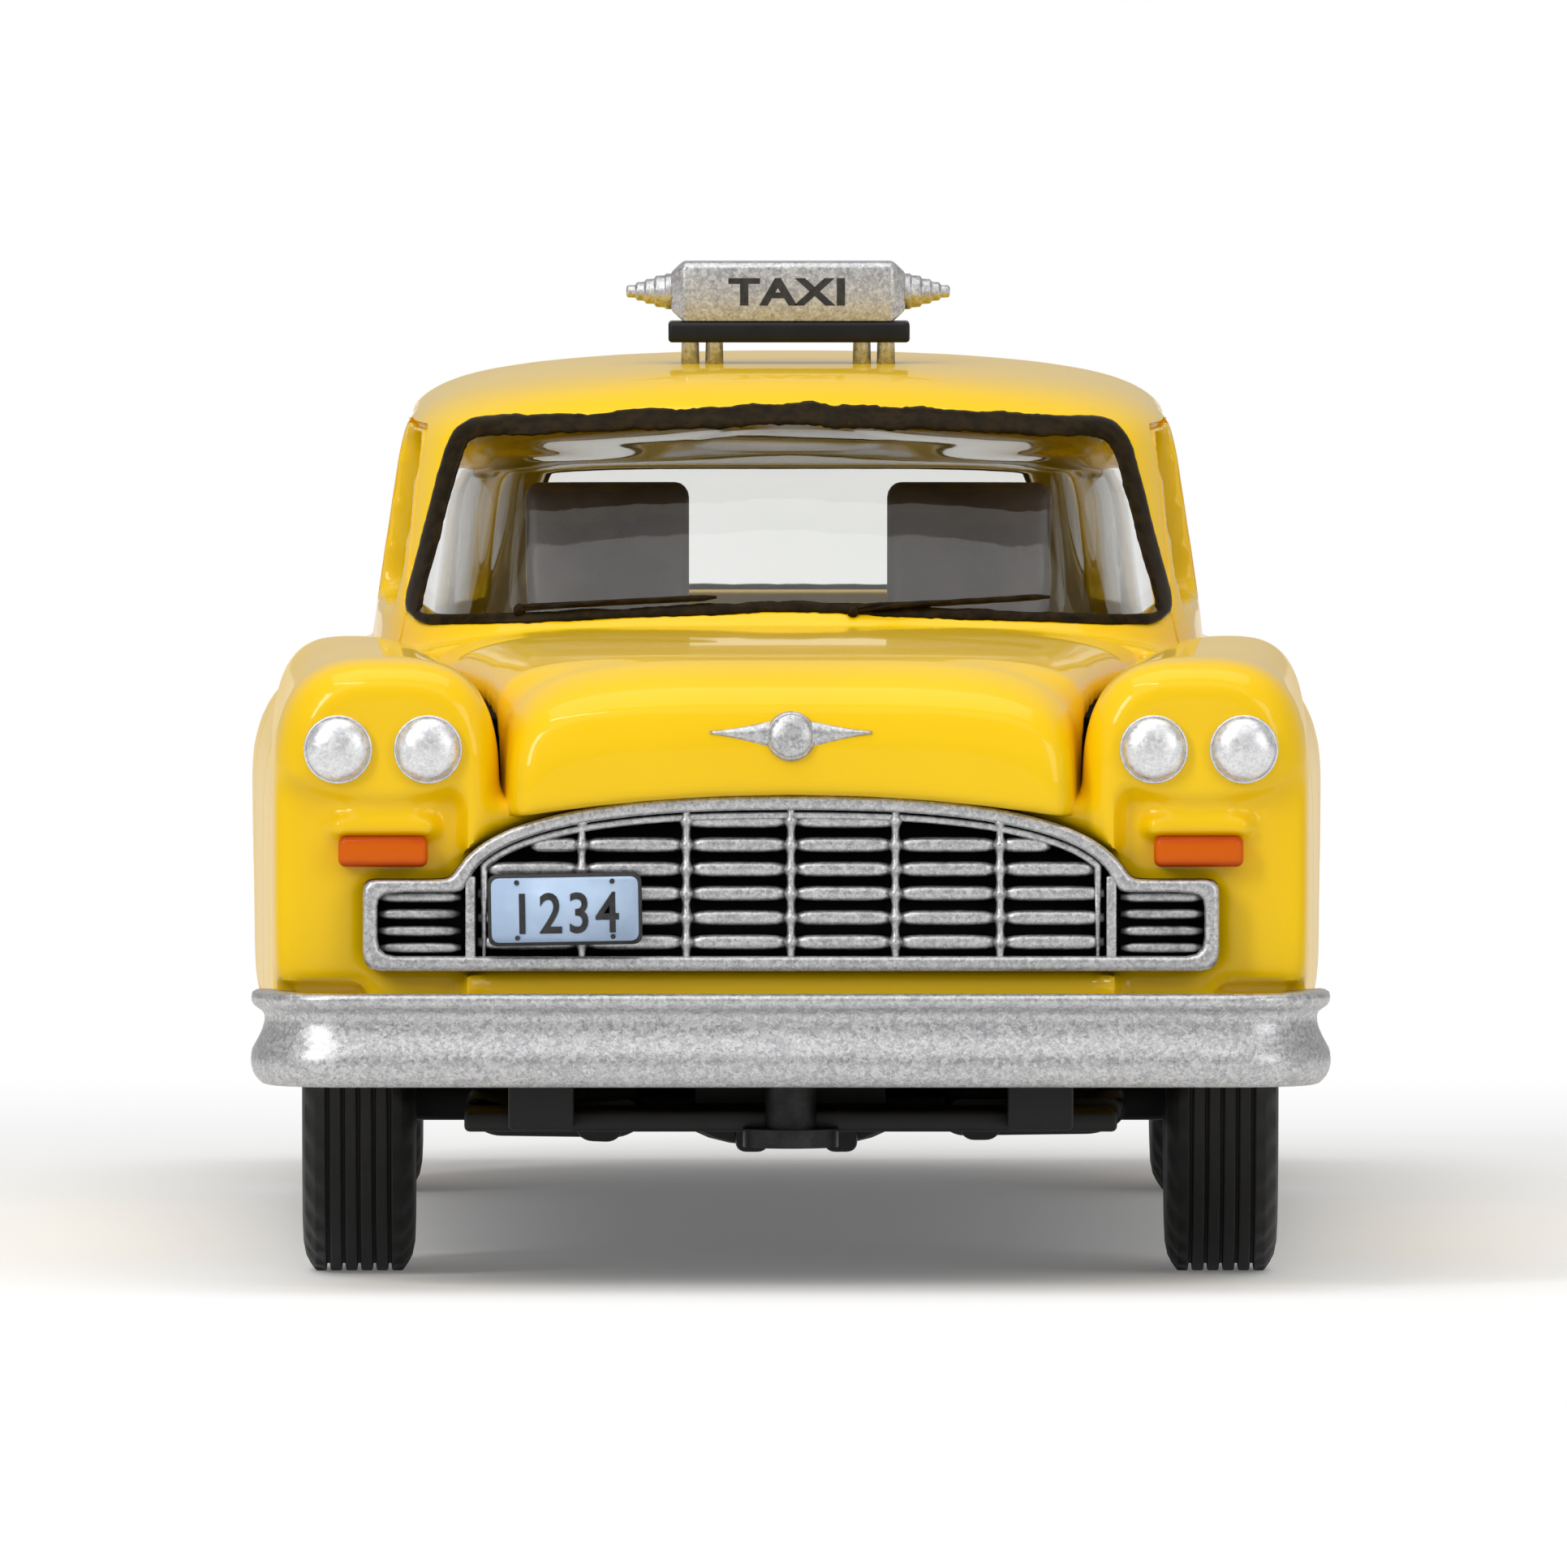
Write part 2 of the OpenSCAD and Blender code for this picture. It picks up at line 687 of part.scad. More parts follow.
// Room for the sides of the bumpers
bumper_w = body_w - 2 * bumper_inset;
bumper_room_w = bumper_t + bumper_inset + bumper_gap;
bumper_room_l = bumper_corner + bumper_side + bumper_gap;
module bumper_room() {
  for (side = [-1, 1]) {
    for (y = [front_y + bumper_room_l / 2 - over / 2, rear_y - bumper_room_l / 2 + over / 2]) {
      translate([side * (half_w - bumper_room_w / 2 + over / 2), y, bumper_low - over])
        block(bumper_room_w + over, bumper_room_l + over, bumper_h + over + bumper_gap);
    }
  }
}

// Screw posts; the front one grows out of the wall behind the grille
post_front_y = (grille_y + bay_front_y) / 2 + post_d / 2;
post_rear_y = tail_y - 0.21 * (tail_y - rear_axle_y) - post_d;
post_rear_top = belt_h * 0.87;
screw_depth = screw_l + over;
module post(y, top) {
  translate([0, y, base_top])
    cylinder(d = post_d, h = top - base_top);
}
module post_bore(y) {
  translate([0, y, base_top - over])
    cylinder(d = screw_d + 2 * faceted_play, h = screw_depth + over);
}

module body_shell() {
  color([0.94, 0.74, 0.05])
    difference() {
      union() {
        difference() {
          union() {
            lower_body();
            wing(-1);
            wing(1);
            nose_panel();
            boot_lid();
            cabin_form();
          }
          lower_body(shell_wall, sill_h);
          boot_lid(shell_wall);
          cabin_form(shell_wall);
          bay_cut();
          chin_cut();
          grille_cut();
          screen_cut();
          rear_light_cut();
          side_window_cut();
        }
        post(post_front_y, bonnet_chin_z);
        post(post_rear_y, post_rear_top);
      }
      well_cut(front_axle_y);
      well_cut(rear_axle_y);
      lamp_seats();
      bumper_room();
      post_bore(post_front_y);
      post_bore(post_rear_y);
    }
}

badge_z = bonnet_h * 0.872;
badge_seat = 0.35;
badge_t = 0.5;
notch_w = hinge_eye_w + 2 * bonnet_gap;
module bonnet() {
  color([0.94, 0.74, 0.05])
    difference() {
      bonnet_form();
      difference() {
        translate([0, hinge_y + over, 0])
          block(body_w, 2 * over, roof_h);
        translate([0, hinge_y, hinge_z])
          rod(2 * roll_r, body_w);
      }
      difference() {
        bonnet_form(bonnet_wall, over);
        translate([0, hinge_y, 0])
          block(body_w, 2 * (roll_r + bonnet_gap), roof_h);
      }
      translate([0, hinge_y, hinge_z])
        rod(hinge_pin_d + 2 * faceted_play, body_w);
      for (side = [-1, 1]) {
        translate([side * hinge_eye_x, hinge_y, hinge_z])
          rod(2 * (hinge_eye_r + bonnet_gap), notch_w);
        translate([side * hinge_eye_x, hinge_y + roll_r / 2, hinge_z - 2 * roll_r])
          block(notch_w, roll_r + 2 * (hinge_eye_r + bonnet_gap), 2 * roll_r);
        translate([side * hinge_eye_x, hinge_y + roll_r, hinge_z - roll_r])
          block(notch_w, 2 * roll_r, roll_r + hinge_eye_r);
      }
      translate([0, lip_y + badge_seat - over / 2, badge_z])
        translate([0, 0, -badge_h / 2 - seat_play])
          block(badge_w + 2 * seat_play, over, badge_h + 2 * seat_play);
    }
}

pin_l = 2 * (hinge_eye_x + hinge_eye_w + bonnet_gap);
module bonnet_hinge_pin() {
  color([0.6, 0.6, 0.62])
    translate([0, hinge_y, hinge_z])
      rod(hinge_pin_d, pin_l);
}

module bonnet_trim_bar() {
  color([0.75, 0.75, 0.77])
    translate([0, lip_y + badge_seat, badge_z])
      facing()
        linear_extrude(badge_t) {
          square([badge_w - badge_h, badge_h], center = true);
          for (side = [-1, 1]) {
            translate([side * (badge_w - badge_h) / 2, 0])
              circle(d = badge_h);
          }
        }
}

// Base plate
base_front_y = bay_front_y + 0.1 * nose_wall;
base_rear_y = tail_y - 1.8 * shell_wall;
base_half_w = half_w * lower_shares[3][1] - shell_wall - base_play - 0.06 * half_w;
base_neck = well_x - base_play;
well_half = axle_z + arch_gap;
bearing_h = axle_z + 1.2 * axle_d;
sump_drop = 0.65;
sump_w = 5.4;
sump_l = 9;
arm_drop = 0.2;
arm_w = 4.4;
arm_l = 4.2;
exhaust_d = 1.1;
horn_w = 1.8;
horn_inset = 2.2;
horn_x = base_neck - horn_inset;
module chassis_base() {
  color([0.06, 0.06, 0.065])
    difference() {
      union() {
        // Plate: narrow past the wheels, wide under the cabin
        translate([0, (base_front_y + base_rear_y) / 2, base_h])
          block(2 * base_neck, base_rear_y - base_front_y, base_t);
        translate([0, (front_axle_y + rear_axle_y) / 2, base_h])
          block(2 * base_half_w, wheelbase - 2 * well_half - 2 * base_play, base_t);
        // Axle bearings
        for (y = [front_axle_y, rear_axle_y]) {
          for (side = [-1, 1]) {
            translate([side * bearing_span / 2, y, base_h])
              block(bearing_w, 3.2 * axle_d, bearing_h - base_h);
          }
        }
        // Horns that carry the bumpers
        for (side = [-1, 1]) {
          translate([side * horn_x, base_front_y + horn_w / 2, base_h])
            block(horn_w, horn_w, bumper_low + bumper_h / 2 - base_h);
          translate([side * horn_x, base_rear_y - horn_w / 2, base_h])
            block(horn_w, horn_w, bumper_low + bumper_h / 2 - base_h);
        }
        // Sump, suspension arms and rear axle case
        translate([0, front_axle_y, base_h - sump_drop])
          block(sump_w, sump_l, sump_drop + base_t / 2);
        for (side = [-1, 1]) {
          translate([side * (bearing_span / 2 - bearing_w / 2), front_axle_y, base_h - arm_drop])
            block(arm_w, arm_l, arm_drop + base_t / 2);
        }
        translate([0, rear_axle_y, base_h - arm_drop])
          cylinder(d = sump_w, h = arm_drop + base_t / 2);
        // Exhaust pipe and silencer
        translate([-base_neck / 2, (front_axle_y + rear_axle_y) / 2, base_h])
          rotate([90, 0, 0])
            cylinder(d = exhaust_d, h = wheelbase - sump_l, center = true);
      }
      for (y = [front_axle_y, rear_axle_y]) {
        translate([0, y, axle_z])
          rod(axle_d + 2 * axle_play, body_w);
      }
      for (y = [post_front_y, post_rear_y]) {
        translate([0, y, base_h - over])
          cylinder(d = screw_d + 2 * faceted_play, h = base_t + 2 * over);
        translate([0, y, base_h - over])
          cylinder(d = screw_head_d + 2 * faceted_play, h = over + base_t / 2);
      }
    }
}

module base_screws() {
  color([0.6, 0.6, 0.62])
    for (y = [post_front_y, post_rear_y]) {
      translate([0, y, base_h + base_t / 2]) {
        cylinder(d = screw_d, h = screw_l);
        translate([0, 0, -base_t / 2])
          difference() {
            cylinder(d = screw_head_d, h = base_t / 2);
            translate([0, 0, -over])
              block(screw_head_d * 0.62, screw_head_d * 0.16, over + base_t / 4);
            translate([0, 0, -over])
              block(screw_head_d * 0.16, screw_head_d * 0.62, over + base_t / 4);
          }
      }
    }
}

// Interior
tub_x = cabin_w / 2 * cabin_shares[0][3] - glass_inset - glass_t / 2 + tub_wall / 2;
// Room between the tub's walls and the shell above them
tub_room = 0.6;
tub_top = belt_h * lower_shares[4][2] - shell_wall - tub_room;
tub_front_y = hinge_y - hinge_eye_r;
tub_rear_y = rear_axle_y - well_half - 2 * base_play;
firewall_h = hinge_z - roll_r - 2 * bonnet_gap;
floor_z = base_top + tub_floor;
rear_back_h = belt_h - rear_back_drop - floor_z;
module interior_tub() {
  color([0.16, 0.14, 0.13])
    difference() {
      union() {
        translate([0, (tub_front_y + tub_rear_y) / 2, base_top])
          block(2 * tub_x, tub_rear_y - tub_front_y, tub_floor);
        for (side = [-1, 1]) {
          translate([side * (tub_x - tub_wall / 2), (tub_front_y + tub_rear_y) / 2, base_top])
            block(tub_wall, tub_rear_y - tub_front_y, firewall_h - base_top);
          translate([side * (tub_x - tub_wall / 2), (cabin_front_y + dash_l + tub_rear_y) / 2, base_top])
            block(tub_wall, tub_rear_y - cabin_front_y - dash_l, tub_top - base_top);
        }
        translate([0, tub_front_y + hinge_eye_r, base_top])
          block(2 * tub_x, 2 * hinge_eye_r, firewall_h - base_top);
        translate([0, tub_rear_y - tub_wall / 2, base_top])
          block(2 * tub_x, tub_wall, floor_z + rear_back_h - base_top);
        // Hinge eyes on the firewall
        for (side = [-1, 1]) {
          translate([side * hinge_eye_x, hinge_y, base_top])
            block(hinge_eye_w, 2 * hinge_eye_r, hinge_z - base_top);
          translate([side * hinge_eye_x, hinge_y, hinge_z])
            rod(2 * hinge_eye_r, hinge_eye_w);
        }
      }
      translate([0, hinge_y, hinge_z])
        rod(hinge_pin_d + 2 * hinge_play, body_w);
    }
}

seat_x = tub_x - tub_wall - seat_gap - seat_w / 2;
seat_h = roof_h - headroom - floor_z;
seat_back_y = pillar_y - door_pillar;
seat_lean = 1;
module front_seat(side) {
  color([0.24, 0.2, 0.18])
    translate([side * seat_x, 0, floor_z])
      rotate([90, 0, 90])
        linear_extrude(seat_w, center = true)
          polygon([
            [seat_back_y - cushion_l, 0],
            [seat_back_y, 0],
            [seat_back_y + seat_lean, seat_h],
            [seat_back_y + seat_lean - 0.7 * back_t, seat_h],
            [seat_back_y - back_t, cushion_h],
            [seat_back_y - cushion_l, cushion_h]
          ]);
}
module front_seat_left() {
  front_seat(1);
}
module front_seat_right() {
  front_seat(-1);
}

rear_seat_y = tub_rear_y - tub_wall;
module rear_seat() {
  color([0.24, 0.2, 0.18])
    translate([0, 0, floor_z])
      rotate([90, 0, 90])
        linear_extrude(2 * (tub_x - tub_wall - base_play), center = true)
          polygon([
            [rear_seat_y - cushion_l, 0],
            [rear_seat_y, 0],
            [rear_seat_y, rear_back_h],
            [rear_seat_y - 0.7 * back_t, rear_back_h],
            [rear_seat_y - back_t, cushion_h],
            [rear_seat_y - cushion_l, cushion_h]
          ]);
}

dash_y = tub_front_y + 2 * hinge_eye_r;
dash_top = firewall_h - base_play;
steering_tilt = 62;
column_l = 2.6;
column_d = 0.7;
steering_y = dash_y + dash_l * 0.86 + column_l * cos(90 - steering_tilt);
steering_z = dash_top - dash_h * 0.35 + column_l * sin(90 - steering_tilt);
module on_column() {
  translate([seat_x, steering_y, steering_z])
    rotate([-steering_tilt, 0, 0])
      children();
}
module dashboard() {
  color([0.1, 0.095, 0.09])
    difference() {
      translate([0, 0, dash_top - dash_h])
        rotate([90, 0, 90])
          linear_extrude(2 * (tub_x - tub_wall - base_play), center = true)
            polygon([
              [dash_y, 0],
              [dash_y + dash_l * 0.7, 0],
              [dash_y + dash_l, dash_h * 0.75],
              [dash_y + dash_l * 0.8, dash_h],
              [dash_y, dash_h]
            ]);
      // Socket of the steering column
      on_column()
        translate([0, 0, -column_l - press_play])
          cylinder(d = column_d + 2 * press_play, h = column_l);
    }
}

module steering_wheel() {
  color([0.09, 0.09, 0.095])
    on_column() {
      rotate_extrude()
        translate([(steering_d - steering_rim) / 2, 0])
          circle(d = steering_rim);
      for (a = [0, 120, 240]) {
        rotate([0, 0, a + 90])
          translate([0, -column_d / 4, -steering_rim / 4])
            cube([(steering_d - steering_rim) / 2, column_d / 2, steering_rim / 2]);
      }
      translate([0, 0, -column_l])
        cylinder(d = column_d, h = column_l + steering_rim / 2);
    }
}

module window_unit() {
  color([0.8, 0.86, 0.88, 0.4])
    difference() {
      cabin_form(glass_inset);
      translate([0, 0, -slice_t])
        cabin_form(glass_inset + glass_t);
    }
}

// Engine moulding: floor, block, rocker cover, air cleaner and radiator
engine_w = 5.2;
engine_l = 9.4;
// Room between the air cleaner and the closed bonnet
engine_room = 0.9;
engine_floor_w = 2 * (valley(bay_front_y) - bay_ledge - base_play);
engine_y = (bay_front_y + tub_front_y) / 2 + 0.1 * engine_l;
air_cleaner_d = 5.4;
air_cleaner_h = 1.2;
radiator_w = 9.6;
radiator_t = 1.2;
engine_z = bearing_h + base_play;
engine_h = bonnet_h - bonnet_wall - engine_room - air_cleaner_h - engine_z;
radiator_h = 0.95 * engine_h;
module engine_insert() {
  color([0.2, 0.2, 0.21])
    union() {
      translate([0, engine_y, engine_z])
        block(engine_floor_w, engine_l, tub_floor);
      for (end = [-1, 1]) {
        translate([0, engine_y + end * 0.42 * engine_l, base_top])
          block(engine_w, 0.16 * engine_l, engine_z - base_top);
      }
      translate([0, engine_y, engine_z])
        block(engine_w, engine_l, engine_h);
      translate([0, engine_y - 0.1 * engine_l, engine_z + engine_h])
        cylinder(d = air_cleaner_d, h = air_cleaner_h);
      translate([0, engine_y - engine_l / 2 - radiator_t / 2, engine_z])
        block(radiator_w, radiator_t, radiator_h);
    }
}

// Grille: frame, backing and bars
grille_rows = 7;
grille_columns = 7;
grille_back = 0.4;
module grille_insert() {
  row_pitch = (grille_h - grille_frame) / grille_rows;
  column_pitch = (grille_arch_w - grille_frame) / grille_columns * 1.06;
  color([0.72, 0.72, 0.73])
    translate([0, grille_y, 0])
      facing()
        union() {
          linear_extrude(grille_back * grille_t) {
            arch_outline(0);
            side_outline(0);
          }
          linear_extrude(grille_t)
            difference() {
              arch_outline(0);
              arch_outline(grille_frame);
            }
          linear_extrude(grille_t * 0.85)
            difference() {
              side_outline(0);
              side_outline(grille_frame);
            }
          // Level bars across the arch
          for (i = [1 : grille_rows - 1]) {
            z = grille_low + i * row_pitch + grille_frame / 2;
            bar_top = z + grille_bar / 2;
            hw = bar_top < grille_shoulder ? grille_arch_w / 2 : arch_half(bar_top);
            translate([-hw + grille_frame / 2, z - grille_bar / 2, 0])
              cube([2 * hw - grille_frame, grille_bar, grille_t * 0.8]);
          }
          // Level bars of the side wings
          for (i = [1 : 3]) {
            z = grille_low + i * grille_side_h / 4;
            translate([-grille_w / 2 + grille_frame / 2, z - grille_bar / 2, 0])
              cube([grille_w - grille_frame, grille_bar, grille_t * 0.7]);
          }
          // Upright bars
          for (i = [-3 : 3]) {
            translate([i * column_pitch - grille_bar / 2, grille_low, 0])
              cube([grille_bar, upright_h(i * column_pitch), grille_t * 0.9]);
          }
        }
}
function arch_share(z) = (z - grille_shoulder) / (grille_top - grille_shoulder);
function arch_half(z) =
  grille_arch_w / 2 * pow(max(0, 1 - pow(arch_share(z), arch_power)), 1 / arch_power);
function upright_h(x) =
  grille_side_h + arch_at(x, grille_arch_w / 2, grille_top - grille_shoulder) - grille_frame / 2;

// Bumper: one ribbed profile along the front and round both corners
bumper_profile_shares = [
  [0, 0], [0.82, 0], [0.95, 0.05], [1, 0.14], [0.97, 0.24], [0.86, 0.34], [0.78, 0.46], [0.76, 0.58],
  [0.8, 0.7], [0.9, 0.8], [0.97, 0.85], [1, 0.91], [0.95, 0.97], [0.82, 1], [0, 1]
];
module bumper_profile() {
  polygon([for (p = bumper_profile_shares) [bumper_corner - bumper_t + bumper_t * p[0], bumper_h * p[1]]]);
}
iron_w = 1.4;
iron_h = 1;
module bumper(reach) {
  straight = bumper_w - 2 * bumper_corner;
  translate([0, 0, bumper_low]) {
    translate([straight / 2, bumper_corner, 0])
      rotate([90, 0, -90])
        linear_extrude(straight)
          bumper_profile();
    for (side = [0, 1]) {
      mirror([side, 0, 0])
        translate([straight / 2, bumper_corner, 0]) {
          rotate([0, 0, -90])
            rotate_extrude(angle = 90)
              bumper_profile();
          rotate([90, 0, 180])
            mirror([1, 0, 0])
              linear_extrude(bumper_side)
                bumper_profile();
        }
    }
    for (side = [-1, 1]) {
      translate([side * horn_x, (bumper_t * 0.5 + reach) / 2, bumper_h / 2 - iron_h])
        block(iron_w, reach - bumper_t * 0.5, iron_h);
    }
  }
}
module front_bumper() {
  color([0.72, 0.72, 0.73])
    translate([0, front_y, 0])
      bumper(base_front_y - front_y);
}
module rear_bumper() {
  color([0.72, 0.72, 0.73])
    translate([0, rear_y, 0])
      rotate([0, 0, 180])
        bumper(rear_y - base_rear_y);
}

// Headlamp: a rim with a shallow dome
lamp_rim = 0.12;
lamp_dome = 0.3;
module headlamp(side, place) {
  color([0.8, 0.8, 0.82])
    translate([side * lamp_x + place * lamp_pitch / 2, lamp_y, lamp_h])
      facing()
        rotate_extrude()
          polygon([
            [0, 0],
            [lamp_d / 2, 0],
            [lamp_d / 2, lamp_depth],
            [lamp_d / 2 - lamp_rim, lamp_depth + lamp_rim],
            for (i = [0 : 6])
              [(lamp_d / 2 - 2 * lamp_rim) * cos(15 * i), lamp_depth + lamp_dome * sin(15 * i)]
          ]);
}
module headlamp_left_outer() {
  headlamp(1, 1);
}
module headlamp_left_inner() {
  headlamp(1, -1);
}
module headlamp_right_inner() {
  headlamp(-1, 1);
}
module headlamp_right_outer() {
  headlamp(-1, -1);
}

module turn_signal(side) {
  color([0.89, 0.42, 0.04])
    translate([side * lamp_x, signal_y, signal_z])
      facing()
        linear_extrude(signal_depth) {
          square([signal_w - signal_h, signal_h], center = true);
          for (end = [-1, 1]) {
            translate([end * (signal_w - signal_h) / 2, 0])
              circle(d = signal_h);
          }
        }
}
module turn_signal_left() {
  turn_signal(1);
}
module turn_signal_right() {
  turn_signal(-1);
}

module tail_lamp(side) {
  color([0.7, 0.05, 0.04])
    translate([side * tail_lamp_x, tail_lamp_y + tail_lamp_depth, tail_lamp_z])
      facing()
        linear_extrude(tail_lamp_depth)
          tail_lamp_outline(0);
}
module tail_lamp_left() {
  tail_lamp(1);
}
module tail_lamp_right() {
  tail_lamp(-1);
}

plate_inset = 3.25;
plate_x = plate_inset - grille_arch_w / 2;
plate_gap = 0.03;
module front_plate() {
  color([0.68, 0.77, 0.87])
    translate([plate_x, grille_y - grille_t - plate_gap, grille_low + grille_side_h / 2 + plate_h / 4])
      facing()
        linear_extrude(plate_t)
          square([plate_w, plate_h], center = true);
}
module rear_plate() {
  color([0.68, 0.77, 0.87])
    translate([0, rear_plate_y + plate_t, rear_plate_z])
      facing()
        linear_extrude(plate_t)
          square([plate_w, plate_h], center = true);
}

// Roof sign
sign_y = -sign_forward;
sign_low = roof_h + sign_foot;
sign_foot_w = 0.5;
module sign_plinth_piece() {
  color([0.06, 0.06, 0.065])
    translate([0, sign_y, roof_h]) {
      translate([0, 0, sign_foot])
        block(sign_w + sign_plinth / 2, sign_depth + sign_plinth / 2, sign_plinth);
      for (side = [-1, 1]) {
        for (place = [0.8, 1]) {
          translate([side * (sign_w / 2 - sign_foot_w) * place, 0, 0])
            block(sign_foot_w, sign_depth / 2, sign_foot + sign_plinth / 2);
        }
      }
    }
}
module sign_box() {
  color([0.72, 0.72, 0.74])
    translate([0, sign_y, sign_low + sign_plinth])
      rotate([90, 0, 90])
        linear_extrude(sign_w, center = true)
          polygon([
            [-sign_depth / 2, 0],
            [sign_depth / 2, 0],
            [sign_depth / 2, sign_h * 0.85],
            [sign_depth * 0.36, sign_h],
            [-sign_depth * 0.36, sign_h],
            [-sign_depth / 2, sign_h * 0.85]
          ]);
}
sign_cap_d = min(sign_h, sign_depth) * 0.96;
sign_cap_shares = [
  [0.92, 0.3], [0.92, 0.36], [0.74, 0.56], [0.74, 0.62], [0.52, 0.8], [0.52, 0.86], [0.3, 1]
];
module sign_cap(side) {
  color([0.72, 0.72, 0.74])
    translate([side * sign_w / 2, sign_y, sign_low + sign_plinth + sign_h / 2])
      rotate([0, side * 90, 0])
        rotate_extrude()
          polygon([
            [0, 0],
            [sign_cap_d / 2, 0],
            for (p = sign_cap_shares)
              [sign_cap_d / 2 * p[0], sign_cap_l * p[1]],
            [0, sign_cap_l]
          ]);
}
module sign_cap_left() {
  sign_cap(1);
}
module sign_cap_right() {
  sign_cap(-1);
}

// Wipers lie along the foot of the windscreen
wiper_l = screen_foot - wiper_tip - wiper_pivot;
wiper_x = wiper_pivot + wiper_l / 2;
wiper_z = glass_low + wiper_d / 2;
wiper_u = (wiper_z - belt_h) / cabin_rise;
wiper_y = cabin_front_y + cabin_l * lookup(wiper_u, [for (r = cabin_shares) [r[0], r[1]]]);
module wiper(x) {
  color([0.05, 0.05, 0.05])
    translate([x, wiper_y, wiper_z]) {
      rod(wiper_d, wiper_l);
      translate([-wiper_l / 2, 0, 0])
        sphere(d = 1.6 * wiper_d);
    }
}
module wiper_left() {
  wiper(wiper_x);
}
module wiper_right() {
  wiper(-wiper_x);
}

// Wheels
hub_face = 0.5 * tyre_w;
axle_l = track + 0.4 * tyre_w;
module axle(y) {
  color([0.6, 0.6, 0.62])
    translate([0, y, axle_z])
      rod(axle_d, axle_l);
}
module front_axle() {
  axle(front_axle_y);
}
module rear_axle() {
  axle(rear_axle_y);
}

// Hub: drop-centre rim with a domed cap, its axis along X and its face to the outside
hub_profile_shares = [
  [0, -0.5], [0.98, -0.5], [1.06, -0.44], [1, -0.4], [1, 0.4], [1.06, 0.44], [0.98, 0.5], [0.9, 0.46],
  [0.84, 0.24], [0.6, 0.2], [0.56, 0.3], [0.4, 0.42], [0.2, 0.48], [0, 0.5]
];
module hub(side, y) {
  color([0.75, 0.75, 0.77])
    translate([side * track / 2, y, axle_z])
      rotate([0, side * 90, 0])
        difference() {
          rotate_extrude()
            polygon([for (p = hub_profile_shares) [hub_d / 2 * p[0], tyre_w * 0.9 * p[1]]]);
          translate([0, 0, -tyre_w])
            cylinder(d = axle_d + 2 * press_play, h = tyre_w + (axle_l - track) / 2 + press_play);
        }
}
module front_hub_left() {
  hub(1, front_axle_y);
}
module front_hub_right() {
  hub(-1, front_axle_y);
}
module rear_hub_left() {
  hub(1, rear_axle_y);
}
module rear_hub_right() {
  hub(-1, rear_axle_y);
}

// Tyre: ribbed tread between two shoulders
tread_share = 0.76;
rib_count = 6;
groove_share = 0.3;
groove_depth = 0.16;
module tyre(side, y) {
  tread = tyre_w * tread_share;
  rib = tread / (rib_count + (rib_count - 1) * groove_share);
  pitch = rib * (1 + groove_share);
  bead = hub_d / 2 + press_play;
  seat = tyre_w * 0.36;
  color([0.05, 0.05, 0.052])
    translate([side * track / 2, y, axle_z])
      rotate([0, 90, 0])
        rotate_extrude($fn = 64)
          polygon([
            [bead, -seat + press_play],
            [hub_d / 2 * 1.06 + press_play * 4, -tyre_w * 0.41],
            [(tyre_d + hub_d) / 4, -tyre_w / 2],
            [tyre_d / 2 - tyre_w * 0.17, -tyre_w * 0.48],
            for (i = [0 : rib_count - 1]) each [
              if (i > 0) [tyre_d / 2 - groove_depth, -tread / 2 + i * pitch],
              [tyre_d / 2, -tread / 2 + i * pitch],
              [tyre_d / 2, -tread / 2 + i * pitch + rib],
              if (i < rib_count - 1) [tyre_d / 2 - groove_depth, -tread / 2 + i * pitch + rib]
            ],
            [tyre_d / 2 - tyre_w * 0.17, tyre_w * 0.48],
            [(tyre_d + hub_d) / 4, tyre_w / 2],
            [hub_d / 2 * 1.06 + press_play * 4, tyre_w * 0.41],
            [bead, seat - press_play]
          ]);
}
module front_tyre_left() {
  tyre(1, front_axle_y);
}
module front_tyre_right() {
  tyre(-1, front_axle_y);
}
module rear_tyre_left() {
  tyre(1, rear_axle_y);
}
module rear_tyre_right() {
  tyre(-1, rear_axle_y);
}

body_shell();
bonnet();
bonnet_hinge_pin();
bonnet_trim_bar();
chassis_base();
base_screws();
interior_tub();
front_seat_left();
front_seat_right();
rear_seat();
dashboard();
steering_wheel();
window_unit();
engine_insert();
grille_insert();
front_bumper();
rear_bumper();
headlamp_left_outer();
headlamp_left_inner();
headlamp_right_inner();
headlamp_right_outer();
turn_signal_left();
turn_signal_right();
tail_lamp_left();
tail_lamp_right();
front_plate();
rear_plate();
sign_plinth_piece();
sign_box();
sign_cap_left();
sign_cap_right();
wiper_left();
wiper_right();
front_axle();
rear_axle();
front_hub_left();
front_hub_right();
rear_hub_left();
rear_hub_right();
front_tyre_left();
front_tyre_right();
rear_tyre_left();
rear_tyre_right();
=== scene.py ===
# %% [markdown]
# # A toy taxi, dressed for a studio photograph
#
# This lesson builds the looks of a small die-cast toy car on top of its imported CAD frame. The frame
# gives the places; Blender gives the soft paint edges, the flake paint, the rubber and the light.
# Every length below is in millimetres and becomes metres only when a vertex is placed.

# %% Open the frame
import math

import bmesh
import bpy
from mathutils import Matrix, Vector, noise


